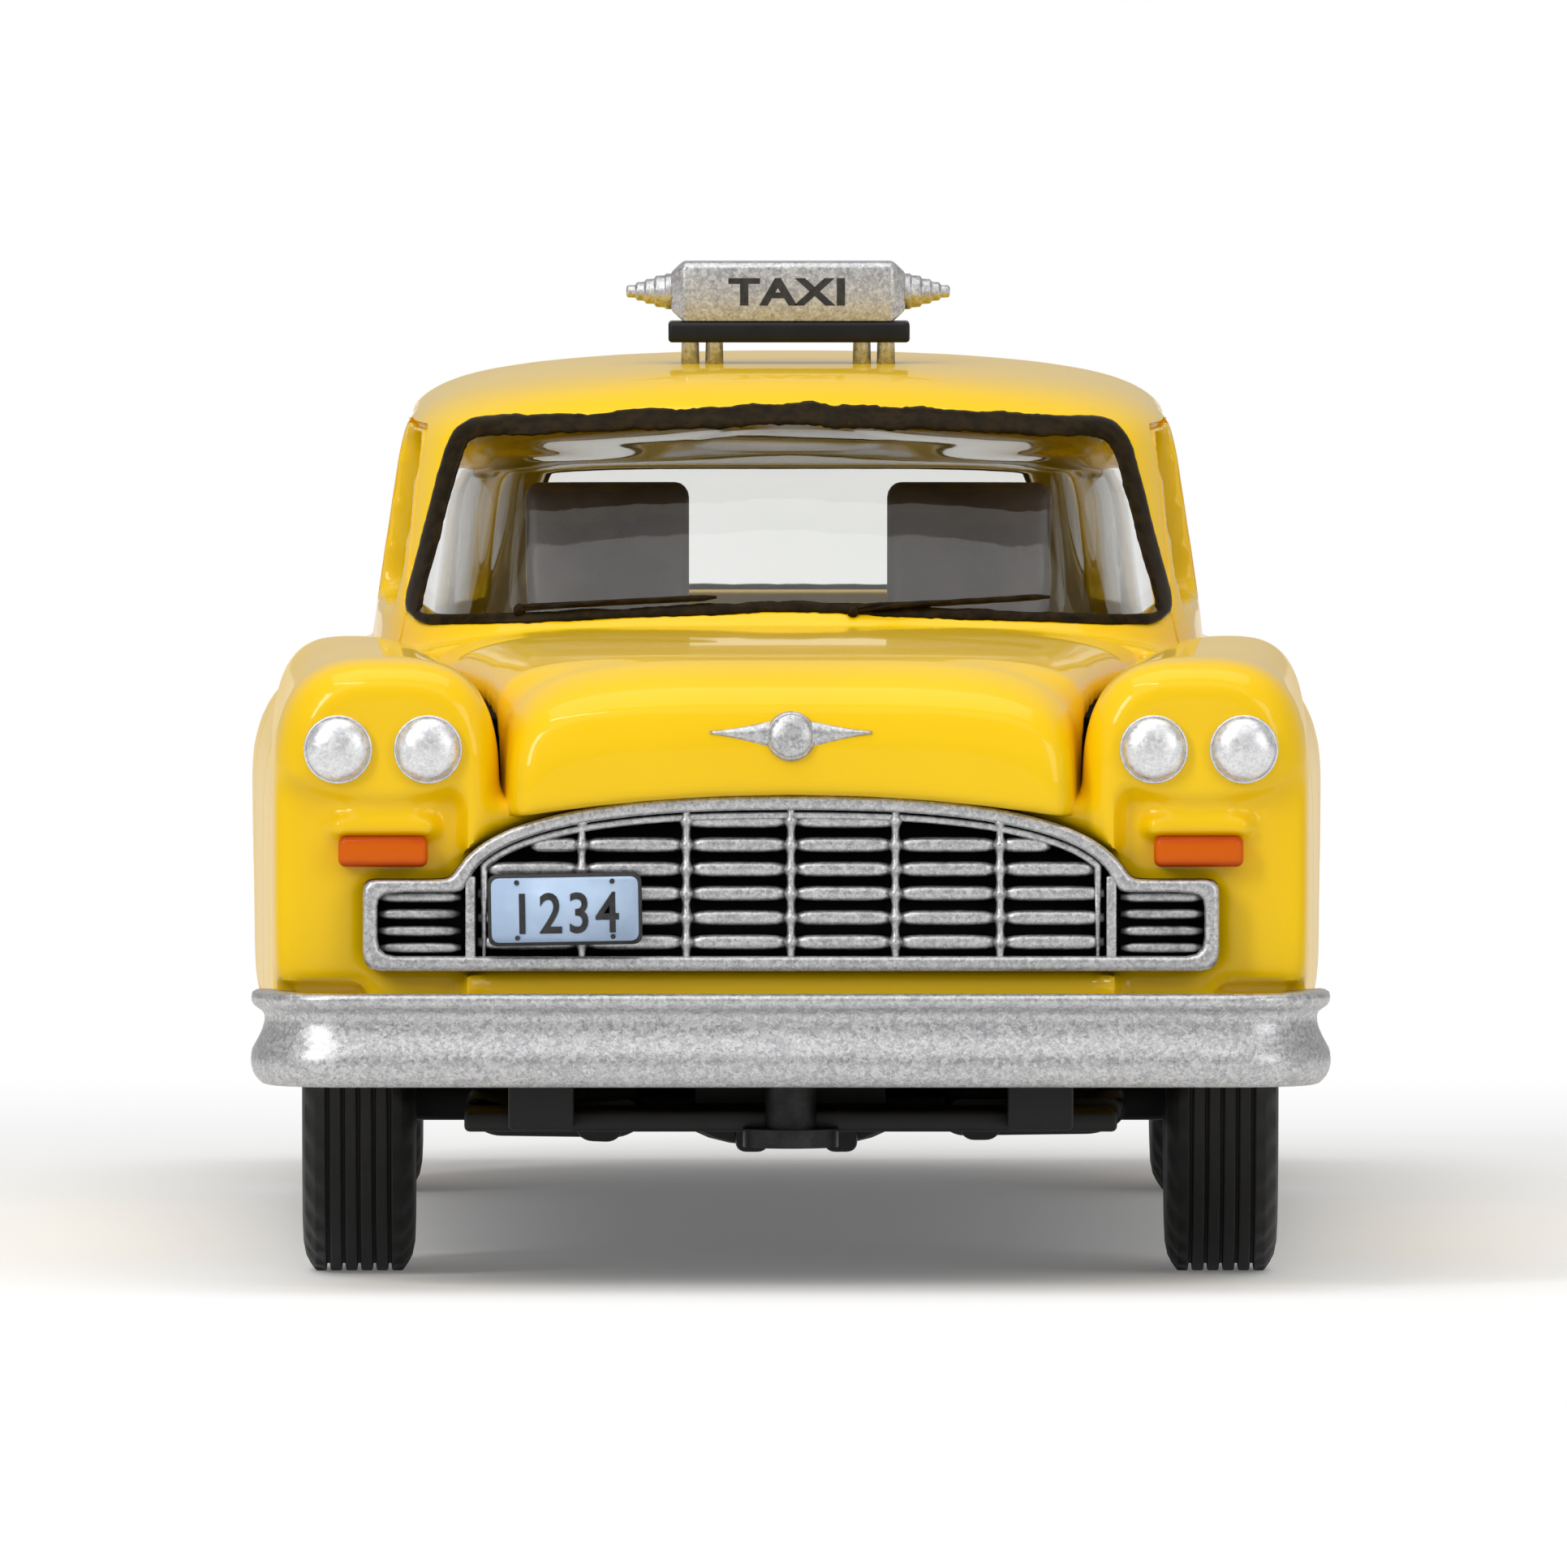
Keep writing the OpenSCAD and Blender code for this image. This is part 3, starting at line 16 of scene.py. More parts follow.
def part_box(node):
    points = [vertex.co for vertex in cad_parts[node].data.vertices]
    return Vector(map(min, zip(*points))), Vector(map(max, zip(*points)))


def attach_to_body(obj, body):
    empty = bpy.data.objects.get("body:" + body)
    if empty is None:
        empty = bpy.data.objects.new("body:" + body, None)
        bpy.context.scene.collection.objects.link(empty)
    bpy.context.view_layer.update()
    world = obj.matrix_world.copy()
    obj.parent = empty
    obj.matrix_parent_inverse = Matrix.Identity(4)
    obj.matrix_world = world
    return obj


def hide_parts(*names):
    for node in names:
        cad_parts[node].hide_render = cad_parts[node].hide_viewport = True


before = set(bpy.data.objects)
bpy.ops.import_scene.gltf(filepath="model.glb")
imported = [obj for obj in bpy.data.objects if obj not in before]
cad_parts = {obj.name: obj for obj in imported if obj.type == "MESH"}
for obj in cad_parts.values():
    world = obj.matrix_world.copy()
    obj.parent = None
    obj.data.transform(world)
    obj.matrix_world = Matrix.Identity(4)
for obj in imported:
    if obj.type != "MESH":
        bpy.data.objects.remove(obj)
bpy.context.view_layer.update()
MM = 0.001
scene = bpy.context.scene
print("CAD nodes:", len(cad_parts))


def box(node):
    """Lowest and highest corner of a CAD node in millimetres."""
    low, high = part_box(node)
    return low / MM, high / MM


# %% [markdown]
# ## Small tools
#
# A lofted form is a row of loops with a skin between them. `create_circle` makes each loop,
# its corners are moved to where the form wants them, and `bridge_loops` sews neighbours together.
# Typing faces by hand would work too, but the operators keep the loops in order for us.

# %% Mesh tools
SAME_PLACE = 1e-5


def angles(count, turn=math.tau):
    """Equal steps of a turn, without its end."""
    return [turn * i / count for i in range(count)]


def quarter(count):
    """Equal steps of a quarter turn, with both ends."""
    return [math.pi / 2 * i / count for i in range(count + 1)]


def add_object(name, bm, *materials, smooth=True):
    """Turns a bmesh in millimetres into a linked object in metres."""
    bmesh.ops.remove_doubles(bm, verts=bm.verts, dist=SAME_PLACE)
    bmesh.ops.recalc_face_normals(bm, faces=bm.faces)
    bmesh.ops.scale(bm, vec=(MM, MM, MM), verts=bm.verts)
    mesh = bpy.data.meshes.new(name)
    bm.to_mesh(mesh)
    bm.free()
    for material in materials:
        mesh.materials.append(material)
    for face in mesh.polygons:
        face.use_smooth = smooth
    ob = bpy.data.objects.new(name, mesh)
    scene.collection.objects.link(ob)
    return ob


def loop_through(bm, points):
    """One closed loop of edges through the points."""
    verts = bmesh.ops.create_circle(bm, segments=len(points), radius=1)["verts"]
    for vert, point in zip(verts, points):
        vert.co = point
    return verts


def loop_edges(verts):
    """The edges between the corners of one loop, in the same order at each run.

    The order decides how a cap is filled, and so how its face is shaded.
    """
    ring = set(verts)
    links = (e for v in verts for e in v.link_edges if e.verts[0] in ring and e.verts[1] in ring)
    return list(dict.fromkeys(links))


def loft(bm, rings, closed=False):
    """Skins a row of point rings. A row that isn't closed gets a cap at each end."""
    loops = [loop_through(bm, ring) for ring in rings]
    edges = [loop_edges(loop) for loop in loops]
    for a, b in zip(edges, edges[1:] + (edges[:1] if closed else [])):
        bmesh.ops.bridge_loops(bm, edges=a + b)
    if not closed:
        for end in (edges[0], edges[-1]):
            bmesh.ops.edgeloop_fill(bm, edges=end)


def lofted(name, rings, *materials):
    """An object with the skin of a row of point rings."""
    bm = bmesh.new()
    loft(bm, rings)
    return add_object(name, bm, *materials)


def block(bm, low, high, bevel=0.0, segments=3):
    """A box between two corners with rounded edges."""
    low, high = Vector(low), Vector(high)
    verts = bmesh.ops.create_cube(bm, size=1)["verts"]
    bmesh.ops.scale(bm, vec=high - low, verts=verts)
    bmesh.ops.translate(bm, vec=(low + high) / 2, verts=verts)
    if bevel:
        edges = list({e for v in verts for e in v.link_edges})
        bmesh.ops.bevel(bm, geom=edges, offset=bevel, offset_type="OFFSET", affect="EDGES",
                        segments=segments, profile=0.5, material=-1, clamp_overlap=True)


def box_object(name, low, high, bevel=0.0):
    """An object with one box between two corners."""
    bm = bmesh.new()
    block(bm, low, high, bevel)
    return add_object(name, bm)


def revolve(bm, profile, centre, axis, steps=48):
    """Spins (radius, distance along the axis) points round an axis through a centre."""
    axis = Vector(axis).normalized()
    side = axis.orthogonal().normalized()
    verts = [bm.verts.new(Vector(centre) + side * r + axis * h) for r, h in profile]
    edges = [bm.edges.new(pair) for pair in zip(verts, verts[1:])]
    bmesh.ops.spin(bm, geom=verts + edges, cent=centre, axis=axis, angle=math.tau, steps=steps,
                   use_merge=True)
    bmesh.ops.remove_doubles(bm, verts=bm.verts, dist=SAME_PLACE)


def modified(ob, kind, **settings):
    """Adds a modifier and applies it at once, so that the object keeps a plain mesh."""
    modifier = ob.modifiers.new(kind.title(), kind)
    for key, value in settings.items():
        setattr(modifier, key, value)
    graph = bpy.context.evaluated_depsgraph_get()
    mesh = bpy.data.meshes.new_from_object(ob.evaluated_get(graph))
    ob.modifiers.clear()
    old = ob.data
    ob.data = mesh
    bpy.data.meshes.remove(old)


def combine(ob, other, operation):
    """Joins or cuts two closed meshes and drops the tool."""
    modified(ob, "BOOLEAN", operation=operation, object=other, solver="MANIFOLD")
    bpy.data.objects.remove(other)


def shade(ob, angle=None):
    """Smooth faces, with sharp edges above an angle if one is given."""
    for face in ob.data.polygons:
        face.use_smooth = True
    if angle is not None:
        ob.data.set_sharp_from_angle(angle=math.radians(angle))
    return ob


def repaint(ob, finish):
    """Leaves one material on an object."""
    ob.data.materials.clear()
    ob.data.materials.append(finish)


def attach(ob, body, slot, *nodes):
    """Rides on a body and stands for CAD nodes. The slot is not used."""
    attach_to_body(ob, body)
    if nodes:
        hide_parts(*nodes)
    print(f"{ob.name}: {len(ob.data.polygons)} faces")


# %% [markdown]
# ## Materials
#
# Node trees are easier to read as sums, so a small class wraps one socket and lets `+`, `-`, `*` and
# `/` make the Math nodes. All patterns use Object coordinates, which are the car's own millimetres
# scaled to metres, so that the paint stays on the car when a part moves.

# %% Node maths
class Value:
    """One output socket of a node tree, with arithmetic."""

    def __init__(self, tree, socket):
        self.tree, self.socket = tree, socket

    def make(self, kind, output=0, inputs=None, **settings):
        """Adds a node: its settings first, then the values or links of its sockets."""
        node = self.tree.nodes.new(kind)
        for key, value in settings.items():
            setattr(node, key, value)
        for key, value in (inputs or {}).items():
            if isinstance(value, Value):
                self.tree.links.new(value.socket, node.inputs[key])
            else:
                node.inputs[key].default_value = value
        return Value(self.tree, node.outputs[output])

    def math(self, operation, other=0.0, flip=False):
        pair = (other, self) if flip else (self, other)
        return self.make("ShaderNodeMath", inputs=dict(enumerate(pair)), operation=operation)

    def __add__(self, other):
        return self.math("ADD", other)

    def __sub__(self, other):
        return self.math("SUBTRACT", other)

    def __mul__(self, other):
        return self.math("MULTIPLY", other)

    def __truediv__(self, other):
        return self.math("DIVIDE", other)

    def __radd__(self, other):
        return self.math("ADD", other, flip=True)

    def __rsub__(self, other):
        return self.math("SUBTRACT", other, flip=True)

    def __rmul__(self, other):
        return self.math("MULTIPLY", other, flip=True)

    def __rtruediv__(self, other):
        return self.math("DIVIDE", other, flip=True)

    def step(self, low, high):
        """0 below low, 1 above high, with a smooth rise between them."""
        return self.make("ShaderNodeMapRange", inputs={"Value": self, 1: low, 2: high, 3: 0.0, 4: 1.0},
                         interpolation_type="SMOOTHSTEP")

    def mix(self, low, high):
        """Blends two colours by this value."""
        return self.make("ShaderNodeMix", output=2, inputs={0: self, 6: low, 7: high}, data_type="RGBA")


def colour(red, green, blue):
    """An sRGB colour of 0 to 255 as linear light."""
    def linear(c):
        c /= 255
        return c / 12.92 if c <= 0.04045 else ((c + 0.055) / 1.055) ** 2.4
    return (linear(red), linear(green), linear(blue), 1.0)


def material(name, **fixed):
    """A material with a Principled shader. Returns it, its shader and the car's own coordinates."""
    made = bpy.data.materials.new(name)
    made.use_nodes = True
    tree = made.node_tree
    shader = next(n for n in tree.nodes if n.type == "BSDF_PRINCIPLED")
    for key, value in fixed.items():
        shader.inputs[key.replace("_", " ")].default_value = value
    place = Value(tree, tree.nodes.new("ShaderNodeTexCoord").outputs["Object"])
    return made, shader, place


def feed(shader, **values):
    """Links values to a shader's sockets."""
    for key, value in values.items():
        shader.id_data.links.new(value.socket, shader.inputs[key.replace("_", " ")])


def grain(place, scale, detail=3.0, roughness=0.55):
    """Cloudy noise of 0 to 1."""
    return place.make("ShaderNodeTexNoise", inputs={
        "Vector": place, "Scale": scale, "Detail": detail, "Roughness": roughness})


def cells(place, scale):
    """One random brightness for each small cell."""
    spots = place.make("ShaderNodeTexVoronoi", output="Color", inputs={"Vector": place, "Scale": scale})
    return spots.make("ShaderNodeSeparateXYZ", output=0, inputs={0: spots})


def axis_of(place, axis):
    return place.make("ShaderNodeSeparateXYZ", output="XYZ".index(axis), inputs={0: place})


def bump(height, strength, distance):
    """A normal that follows a height."""
    return height.make("ShaderNodeBump", inputs={
        "Height": height, "Strength": strength, "Distance": distance})


def rays(tree, *kinds):
    """1 for light paths of the named kinds, otherwise 0."""
    path = tree.nodes.new("ShaderNodeLightPath")
    first, *others = (Value(tree, path.outputs[f"Is {kind} Ray"]) for kind in kinds)
    for other in others:
        first = first.math("MAXIMUM", other)
    return first


def blend_surface(made, shader, other, factor):
    """Blends a material's own shader into another one."""
    tree = made.node_tree
    out = next(n for n in tree.nodes if n.type == "OUTPUT_MATERIAL")
    blend = tree.nodes.new("ShaderNodeMixShader")
    tree.links.new(factor.socket, blend.inputs[0])
    tree.links.new(shader.outputs[0], blend.inputs[1])
    tree.links.new(other.outputs[0], blend.inputs[2])
    tree.links.new(blend.outputs[0], out.inputs["Surface"])


# %% [markdown]
# ### Yellow paint
#
# Toy enamel is thick, even and glossy. A clear coat over a slightly rough base gives the two-layer
# highlight; a faint large-scale noise keeps it from looking like flat plastic, and a faint bump gives
# the orange-peel surface. The flanks reflect less than the front, so the coat thins out there.

# %% Yellow paint
FLANK_FROM, FLANK_TO = 0.0128, 0.0142


def yellow_paint(name, coat):
    made, shader, place = material(name, Coat_Roughness=0.04, Coat_IOR=1.45, Specular_IOR_Level=0.12)
    cloud = grain(place, 90.0)
    flank = axis_of(place, "X").math("ABSOLUTE").step(FLANK_FROM, FLANK_TO)
    feed(shader,
         Coat_Weight=coat * (1 - flank * 0.65),
         Base_Color=cloud.step(0.3, 0.7).mix(colour(240, 194, 2), colour(244, 200, 5)),
         Roughness=0.3 + cloud * 0.1,
         Normal=bump(grain(place, 900.0, 2.0), 0.05, 0.00003))
    return made


yellow = yellow_paint("yellow_paint", 0.5)
yellow_bonnet = yellow_paint("yellow_paint_bonnet", 0.45)


# %% [markdown]
# ### Silver flake paint
#
# The bright parts are not plated: they are sprayed with a paint full of coarse aluminium flakes. Each
# Voronoi cell is one flake with its own brightness, and the same cells tilt the normal a little.

# %% Silver paint
def silver_paint(name, wash=None, low=150, high=214):
    made, shader, place = material(name, Metallic=0.85)
    flake = cells(place, 9500.0)
    fine = cells(place, 21000.0)
    tone = flake * 0.5 + fine * 0.5
    base = tone.mix(colour(low, low, low + 3), colour(high, high, high))
    rough = 0.34 + flake * 0.12
    if wash is not None:
        dirt = wash(place)
        base = dirt.mix(base, colour(12, 12, 13))
        rough = rough + dirt * 0.3
    feed(shader, Base_Color=base, Roughness=rough, Normal=bump(flake + fine * 0.6, 0.12, 0.00003))
    return made


silver = silver_paint("silver_paint")
lamp_silver = silver_paint("silver_lamps", low=200, high=240)


# %% [markdown]
# ### Rubber, black plastic, trim, steel and lenses
#
# The small parts share one recipe and differ in shade, grain and shine: tyres are rough, moulded plastic
# is smoother, and lenses are glossy under a clear coat.

# %% Dark and small-part materials
def plain(name, low, high, roughness, scale=700.0, depth=0.00002, **fixed):
    """Two close shades mixed by noise, with a matching fine bump."""
    made, shader, place = material(name, **fixed)
    cloud = grain(place, scale)
    feed(shader, Base_Color=cloud.step(0.35, 0.65).mix(colour(*low), colour(*high)),
         Roughness=roughness + cloud * 0.12, Normal=bump(cloud, 0.15, depth))
    return made


rubber = plain("tyre_rubber", (10, 10, 10), (17, 17, 17), 0.5, 1500.0, Specular_IOR_Level=0.3)
black = plain("black_plastic", (5, 5, 5), (12, 12, 12), 0.36, 1200.0, Specular_IOR_Level=0.3)
trim_black = plain("black_paint", (26, 19, 7), (42, 31, 12), 0.26, 2600.0, 0.00003, Specular_IOR_Level=0.05)
seat_brown = plain("seat_plastic", (72, 63, 60), (90, 81, 77), 0.5, 500.0)
tub_grey = plain("tub_plastic", (70, 66, 62), (88, 83, 78), 0.5, 900.0)
steel = plain("steel", (150, 150, 153), (180, 180, 183), 0.24, 2500.0, Metallic=1.0)
dark_steel = plain("dark_steel", (30, 30, 31), (44, 44, 45), 0.35, 2500.0, Metallic=0.6)
bright = plain("bright_metal", (203, 203, 206), (213, 213, 216), 0.2, 2500.0, 0.000004, Metallic=1.0)
red = plain("red_lens", (140, 8, 6), (170, 14, 10), 0.12, 900.0, Coat_Weight=0.6)
ink = plain("dark_ink", (22, 22, 24), (42, 41, 43), 0.5, 5000.0)
plate_blue = plain("plate_blue", (172, 194, 222), (180, 201, 227), 0.3, 1500.0)
print("materials:", len(bpy.data.materials))


# %% [markdown]
# ## The body shell
#
# The casting is a union of soft forms: the lower body, two front wings, the boot lid and the cabin.
# Each is a loft through superellipse sections, whose one power sets how square the corners are. The
# stations come from short tables, and a monotone cubic curve runs through them so that no facets show.
# Sculpting by hand would reach the same shape, but tables keep left and right the same.

# %% Stations and sections
BELT, ROOF, SILL, HALF_W = 16.9, 24.4, 4.4, 15.1
NOSE_Y, TAIL_Y, COWL_Y = -37.6, 37.9, -18.2
HINGE_Y, HINGE_Z, ROLL_R = -17.2, 16.26, 1.05
WING_H, WING_W, WING_END = 17.2, 6.25, -8.2
FRONT_AXLE, REAR_AXLE, AXLE_Z = -25.9, 21.7, 5.55
CABIN_FRONT, CABIN_REAR, CABIN_W = -16.3, 21.6, 11.6
LIP_Y, BONNET_L, BONNET_H = -38.3, 21.1, 17.35
LAMP_X = 11.1
SHOULDER_POWER, SILL_POWER, WAIST = 3.7, 9, 0.62
WING_CHIN, WING_ROLL, BOOT_LAP = 6.4, 0.7, 6.6

lower_rows = [
    (0, 0.94, 1.018, 1), (0.06, 0.946, 1.016, 1), (0.12, 0.953, 1.01, 1), (0.33, 0.97, 1.003, 1),
    (0.55, 0.987, 0.994, 1), (0.7, 1, 0.97, 1.02), (0.82, 0.993, 0.935, 1.14), (0.91, 0.967, 0.888, 1.32),
    (0.965, 0.92, 0.846, 1.48), (0.99, 0.868, 0.805, 1.64), (1, 0.815, 0.763, 1.8)]
wing_rows = [
    (0, 0.932, 1, 1, 1), (0.01, 0.932, 1, 1, 0.5), (0.029, 0.934, 1, 1, 0.14), (0.063, 0.936, 0.99, 1, 0),
    (0.29, 0.938, 0.91, 1, 0), (0.54, 0.941, 0.775, 1, 0), (0.71, 0.945, 0.68, 0.992, 0),
    (0.84, 0.944, 0.63, 0.972, 0), (1, 0.925, 0.6, 0.925, 0)]
bonnet_rows = [
    (0, 0.075, 0.87, 0.79), (0.01, 0.035, 0.915, 0.781), (0.04, 0.008, 0.95, 0.778),
    (0.09, 0, 0.975, 0.778), (0.13, 0, 0.985, 0.778), (0.21, 0, 0.991, 0.88), (0.46, 0, 0.998, 0.905),
    (0.75, 0, 1, 0.905), (0.93, 0, 1, 0.88), (1.06, 0, 1, 0.875)]
boot_rows = [
    (0, 0.69, 1.006), (0.22, 0.69, 1.006), (0.44, 0.69, 0.99), (0.62, 0.685, 0.957), (0.77, 0.675, 0.9),
    (0.87, 0.66, 0.825), (0.95, 0.635, 0.725), (1, 0.6, 0.63)]
cabin_rows = [
    (-0.21, 0, 1, 1.002, 5), (0.013, 0.021, 0.982, 0.99, 5), (0.4, 0.081, 0.927, 0.955, 5),
    (0.71, 0.132, 0.876, 0.92, 5), (0.765, 0.142, 0.862, 0.9, 5), (0.82, 0.155, 0.84, 0.86, 4.6),
    (0.872, 0.172, 0.81, 0.785, 4.2), (0.915, 0.195, 0.77, 0.66, 3.6), (0.945, 0.225, 0.72, 0.5, 3),
    (0.96, 0.26, 0.67, 0.36, 2.6)]


def curve_value(rows, column, t):
    """A monotone cubic curve through one column of a table, read at t."""
    xs = [r[0] for r in rows]
    ys = [r[column] for r in rows]
    gaps = [b - a for a, b in zip(xs, xs[1:])]
    slopes = [(b - a) / g for a, b, g in zip(ys, ys[1:], gaps)]
    tangents = [slopes[0]]
    for a, b in zip(slopes, slopes[1:]):
        tangents.append(0.0 if a * b <= 0 else 2 * a * b / (a + b))
    tangents.append(slopes[-1])
    i = max(0, min(len(gaps) - 1, sum(1 for x in xs[1:-1] if x <= t)))
    u = min(1.0, max(0.0, (t - xs[i]) / gaps[i]))
    return ((1 + 2 * u) * (1 - u) ** 2 * ys[i] + u * (1 - u) ** 2 * gaps[i] * tangents[i]
            + u * u * (3 - 2 * u) * ys[i + 1] + u * u * (u - 1) * gaps[i] * tangents[i + 1])


def stations(rows, per_gap=6):
    """Places to cut slices: every table row and some between."""
    places = [a[0] + (b[0] - a[0]) * k / per_gap for a, b in zip(rows, rows[1:]) for k in range(per_gap)]
    columns = range(1, len(rows[0]))
    return [[t] + [curve_value(rows, c, t) for c in columns] for t in places + [rows[-1][0]]]


def power(value, n):
    """One axis of a superellipse: a sine or cosine raised so that corners get squarer with n."""
    return math.copysign(abs(value) ** (2 / n), value)


def section(x, half, low, mid, top, n_top, n_low, count=88):
    """Points (x, z) round one slice of the car."""
    points = []
    for a in angles(count):
        up = math.sin(a) > 0
        n = n_top if up else n_low
        reach = (top - mid) if up else (mid - low)
        points.append((x + half * power(math.cos(a), n), mid + reach * power(math.sin(a), n)))
    return points


def along_y(y, points):
    return [Vector((x, y, z)) for x, z in points]


def valley(y):
    """Half width between the front wings."""
    t = (y - NOSE_Y) / (WING_END - NOSE_Y)
    t = min(1.0, max(0.0, t))
    return HALF_W * curve_value(wing_rows, 1, t) - WING_W * curve_value(wing_rows, 2, t)


def lower_body(inset=0.0, drop=0.0):
    rings = []
    for t, wide, top, foot in stations(lower_rows):
        y = COWL_Y + t * (TAIL_Y - inset - COWL_Y) - (1.5 if inset and t == 0 else 0)
        ring = section(0, HALF_W * wide - inset, SILL * foot - drop, BELT * WAIST, BELT * top - inset,
                       SHOULDER_POWER, SILL_POWER)
        rings.append(along_y(y, ring))
    return lofted("lower_body", rings)


def wing(side, inset=0.0):
    rings = []
    for t, out, wide, top, nose in stations(wing_rows):
        outer, inner = HALF_W * out, HALF_W * out - WING_W * wide
        y = NOSE_Y + t * (WING_END - NOSE_Y)
        foot = WING_CHIN + (SILL + 0.25 - WING_CHIN) * min(1, max(0, (t - 0.3) / 0.24))
        rolled = WING_ROLL * nose
        ring = section(side * (outer + inner) / 2, (outer - inner) / 2 - rolled - inset, foot + rolled,
                       WING_H * 0.77, WING_H * top - rolled - inset, 3, 6)
        rings.append(along_y(y, ring))
    return lofted("wing", rings)


def boot_lid(inset=0.0):
    rings = []
    for t, wide, top in stations(boot_rows):
        y = CABIN_REAR - BOOT_LAP + t * (TAIL_Y - CABIN_REAR + BOOT_LAP) - inset
        ring = section(0, HALF_W * wide - inset, BELT * 0.42, BELT * WAIST,
                       max(BELT * top, BELT * 0.63) - inset, 3.4, 3.4)
        rings.append(along_y(y, ring))
    return lofted("boot_lid", rings)


def tier(t, inset=0.0):
    """Front, rear, half width, power and height of the cabin at one level."""
    front, rear, wide, n = (curve_value(cabin_rows, c, t) for c in range(1, 5))
    length = CABIN_REAR - CABIN_FRONT
    return (CABIN_FRONT + length * front + inset * 1.3, CABIN_FRONT + length * rear - inset * 1.3,
            CABIN_W * wide - inset, n, BELT + t * (ROOF - BELT - (inset if t > 0 else 0)))


def cabin(inset=0.0, count=120):
    rings = []
    for row in stations(cabin_rows):
        front, rear, half, n, z = tier(row[0], inset)
        middle, reach = (front + rear) / 2, (rear - front) / 2
        rings.append([Vector((half * power(math.cos(a), n), middle + reach * power(math.sin(a), n), z))
                      for a in angles(count)])
    return lofted("cabin", rings)


# %% [markdown]
# ### Openings
#
# Each opening is a prism: an outline with rounded corners, pushed through the shell. Cutting before
# the surface is softened lets the paint roll over every edge, as enamel does.

# %% Cutters
def rounded(points, radius, steps=7):
    """A polygon with its corners replaced by arcs."""
    out = []
    for before, here, after in zip(points[-1:] + points[:-1], points, points[1:] + points[:1]):
        here = Vector(here)
        a, b = (Vector(before) - here), (Vector(after) - here)
        cut = min(radius, a.length * 0.45, b.length * 0.45)
        start, end = here + a.normalized() * cut, here + b.normalized() * cut
        for i in range(steps + 1):
            u = i / steps
            out.append(start * (1 - u) ** 2 + here * 2 * u * (1 - u) + end * u * u)
    return out


def prism(outline, axis, low, high):
    """Pushes a flat outline along X, Y or Z between two places."""
    order = {"X": lambda p, d: Vector((d, p[0], p[1])), "Y": lambda p, d: Vector((p[0], d, p[1])),
             "Z": lambda p, d: Vector((p[0], p[1], d))}[axis]
    return lofted("cutter", [[order(p, d) for p in outline] for d in (low, high)])


def drum(radius, centre, axis, length, steps=96):
    """A plain cylinder with its middle at the centre."""
    bm = bmesh.new()
    end = length / 2
    revolve(bm, [(0, -end), (radius, -end), (radius, end), (0, end)], centre, axis, steps)
    return add_object("cutter", bm)


screen_outline = rounded([
    (-10.62, 17.35), (0, 17.82), (10.62, 17.35), (9.15, 22.6), (0, 22.98), (-9.15, 22.6)], 0.75, 9)
rear_outline = rounded([(-8.4, 17.7), (8.4, 17.7), (7.4, 21.9), (-7.4, 21.9)], 0.9)
front_pane_outline = rounded([(-10.24, 17.65), (-1.4, 17.65), (-1.4, 22.25), (-7.39, 22.25)], 0.7)
rear_pane_outline = rounded([(0, 17.65), (14.0, 17.65), (12.3, 22.25), (0, 22.25)], 0.7)
GRILLE_LOW, GRILLE_END, GRILLE_SIDE_TOP, GRILLE_CROWN = 8.72, 11.65, 11.2, 13.5
GRILLE_ARCH, GRILLE_FOOT = 9.3, 10.6


def smooth_max(a, b, blend):
    """The larger of two values, with a soft turn where they meet."""
    h = max(0.0, blend - abs(a - b)) / blend
    return max(a, b) + h * h * blend / 4


def grille_top(x, inset=0.0):
    """Height of the grille's upper edge: an arch that runs out into two level shoulders."""
    half, foot = GRILLE_ARCH - inset, GRILLE_FOOT
    arch = foot + (GRILLE_CROWN - inset - foot) * max(0.0, 1 - abs(x / half) ** 2.5) ** 0.4
    return smooth_max(arch, GRILLE_SIDE_TOP - inset, 0.6)


def grille_outline(inset=0.0, count=40):
    """The grille's whole outline, seen from the front."""
    end, low, side = GRILLE_END - inset, GRILLE_LOW + inset, GRILLE_SIDE_TOP - inset
    ramp = [(end - 0.75) * math.cos(math.pi * i / count) for i in range(count + 1)]
    arch = [(x, grille_top(x, inset)) for x in ramp]
    return rounded([(-end, low), (end, low), (end, side)] + arch + [(-end, side)], 0.5, 3)


def valley_outline(front, rear, inset, steps=10):
    """The space between the wings, seen from above."""
    ys = [front + (rear - front) * i / steps for i in range(steps + 1)]
    return [(valley(y) - inset, y) for y in ys] + [(inset - valley(y), y) for y in reversed(ys)]


def grille_seat(flare=0.45):
    """The grille's pocket. Its two ends open out towards the front, where the wings turn inwards."""
    rings = []
    for y, reach in ((-36.79, 0.0), (-37.5, flare), (-45, flare)):
        ring = []
        for x, z in grille_outline(-0.06):
            spread = reach * min(1.0, max(0.0, abs(x) - 10.6))
            ring.append(Vector((x + math.copysign(spread, x), y, z)))
        rings.append(ring)
    return lofted("cutter", rings)


def chin_cutter(side):
    """Sets the wing back under the lamps, along a soft lip that rises at both ends."""
    rings = []
    for y, lift in ((-50, 0.12), (-37.62, 0.12), (-37.25, -0.08), (-36.95, -0.35)):
        shares = [-0.74 + 1.74 * i / 16 for i in range(17)]
        lip = [(LAMP_X + 2.97 * u, 13.3 + lift + 0.95 * u * u) for u in shares]
        outline = [(16, 3), (8.9, 3)] + lip + [(16, 14.25 + lift)]
        rings.append([Vector((side * x, y, z)) for x, z in outline])
    return lofted("cutter", rings)


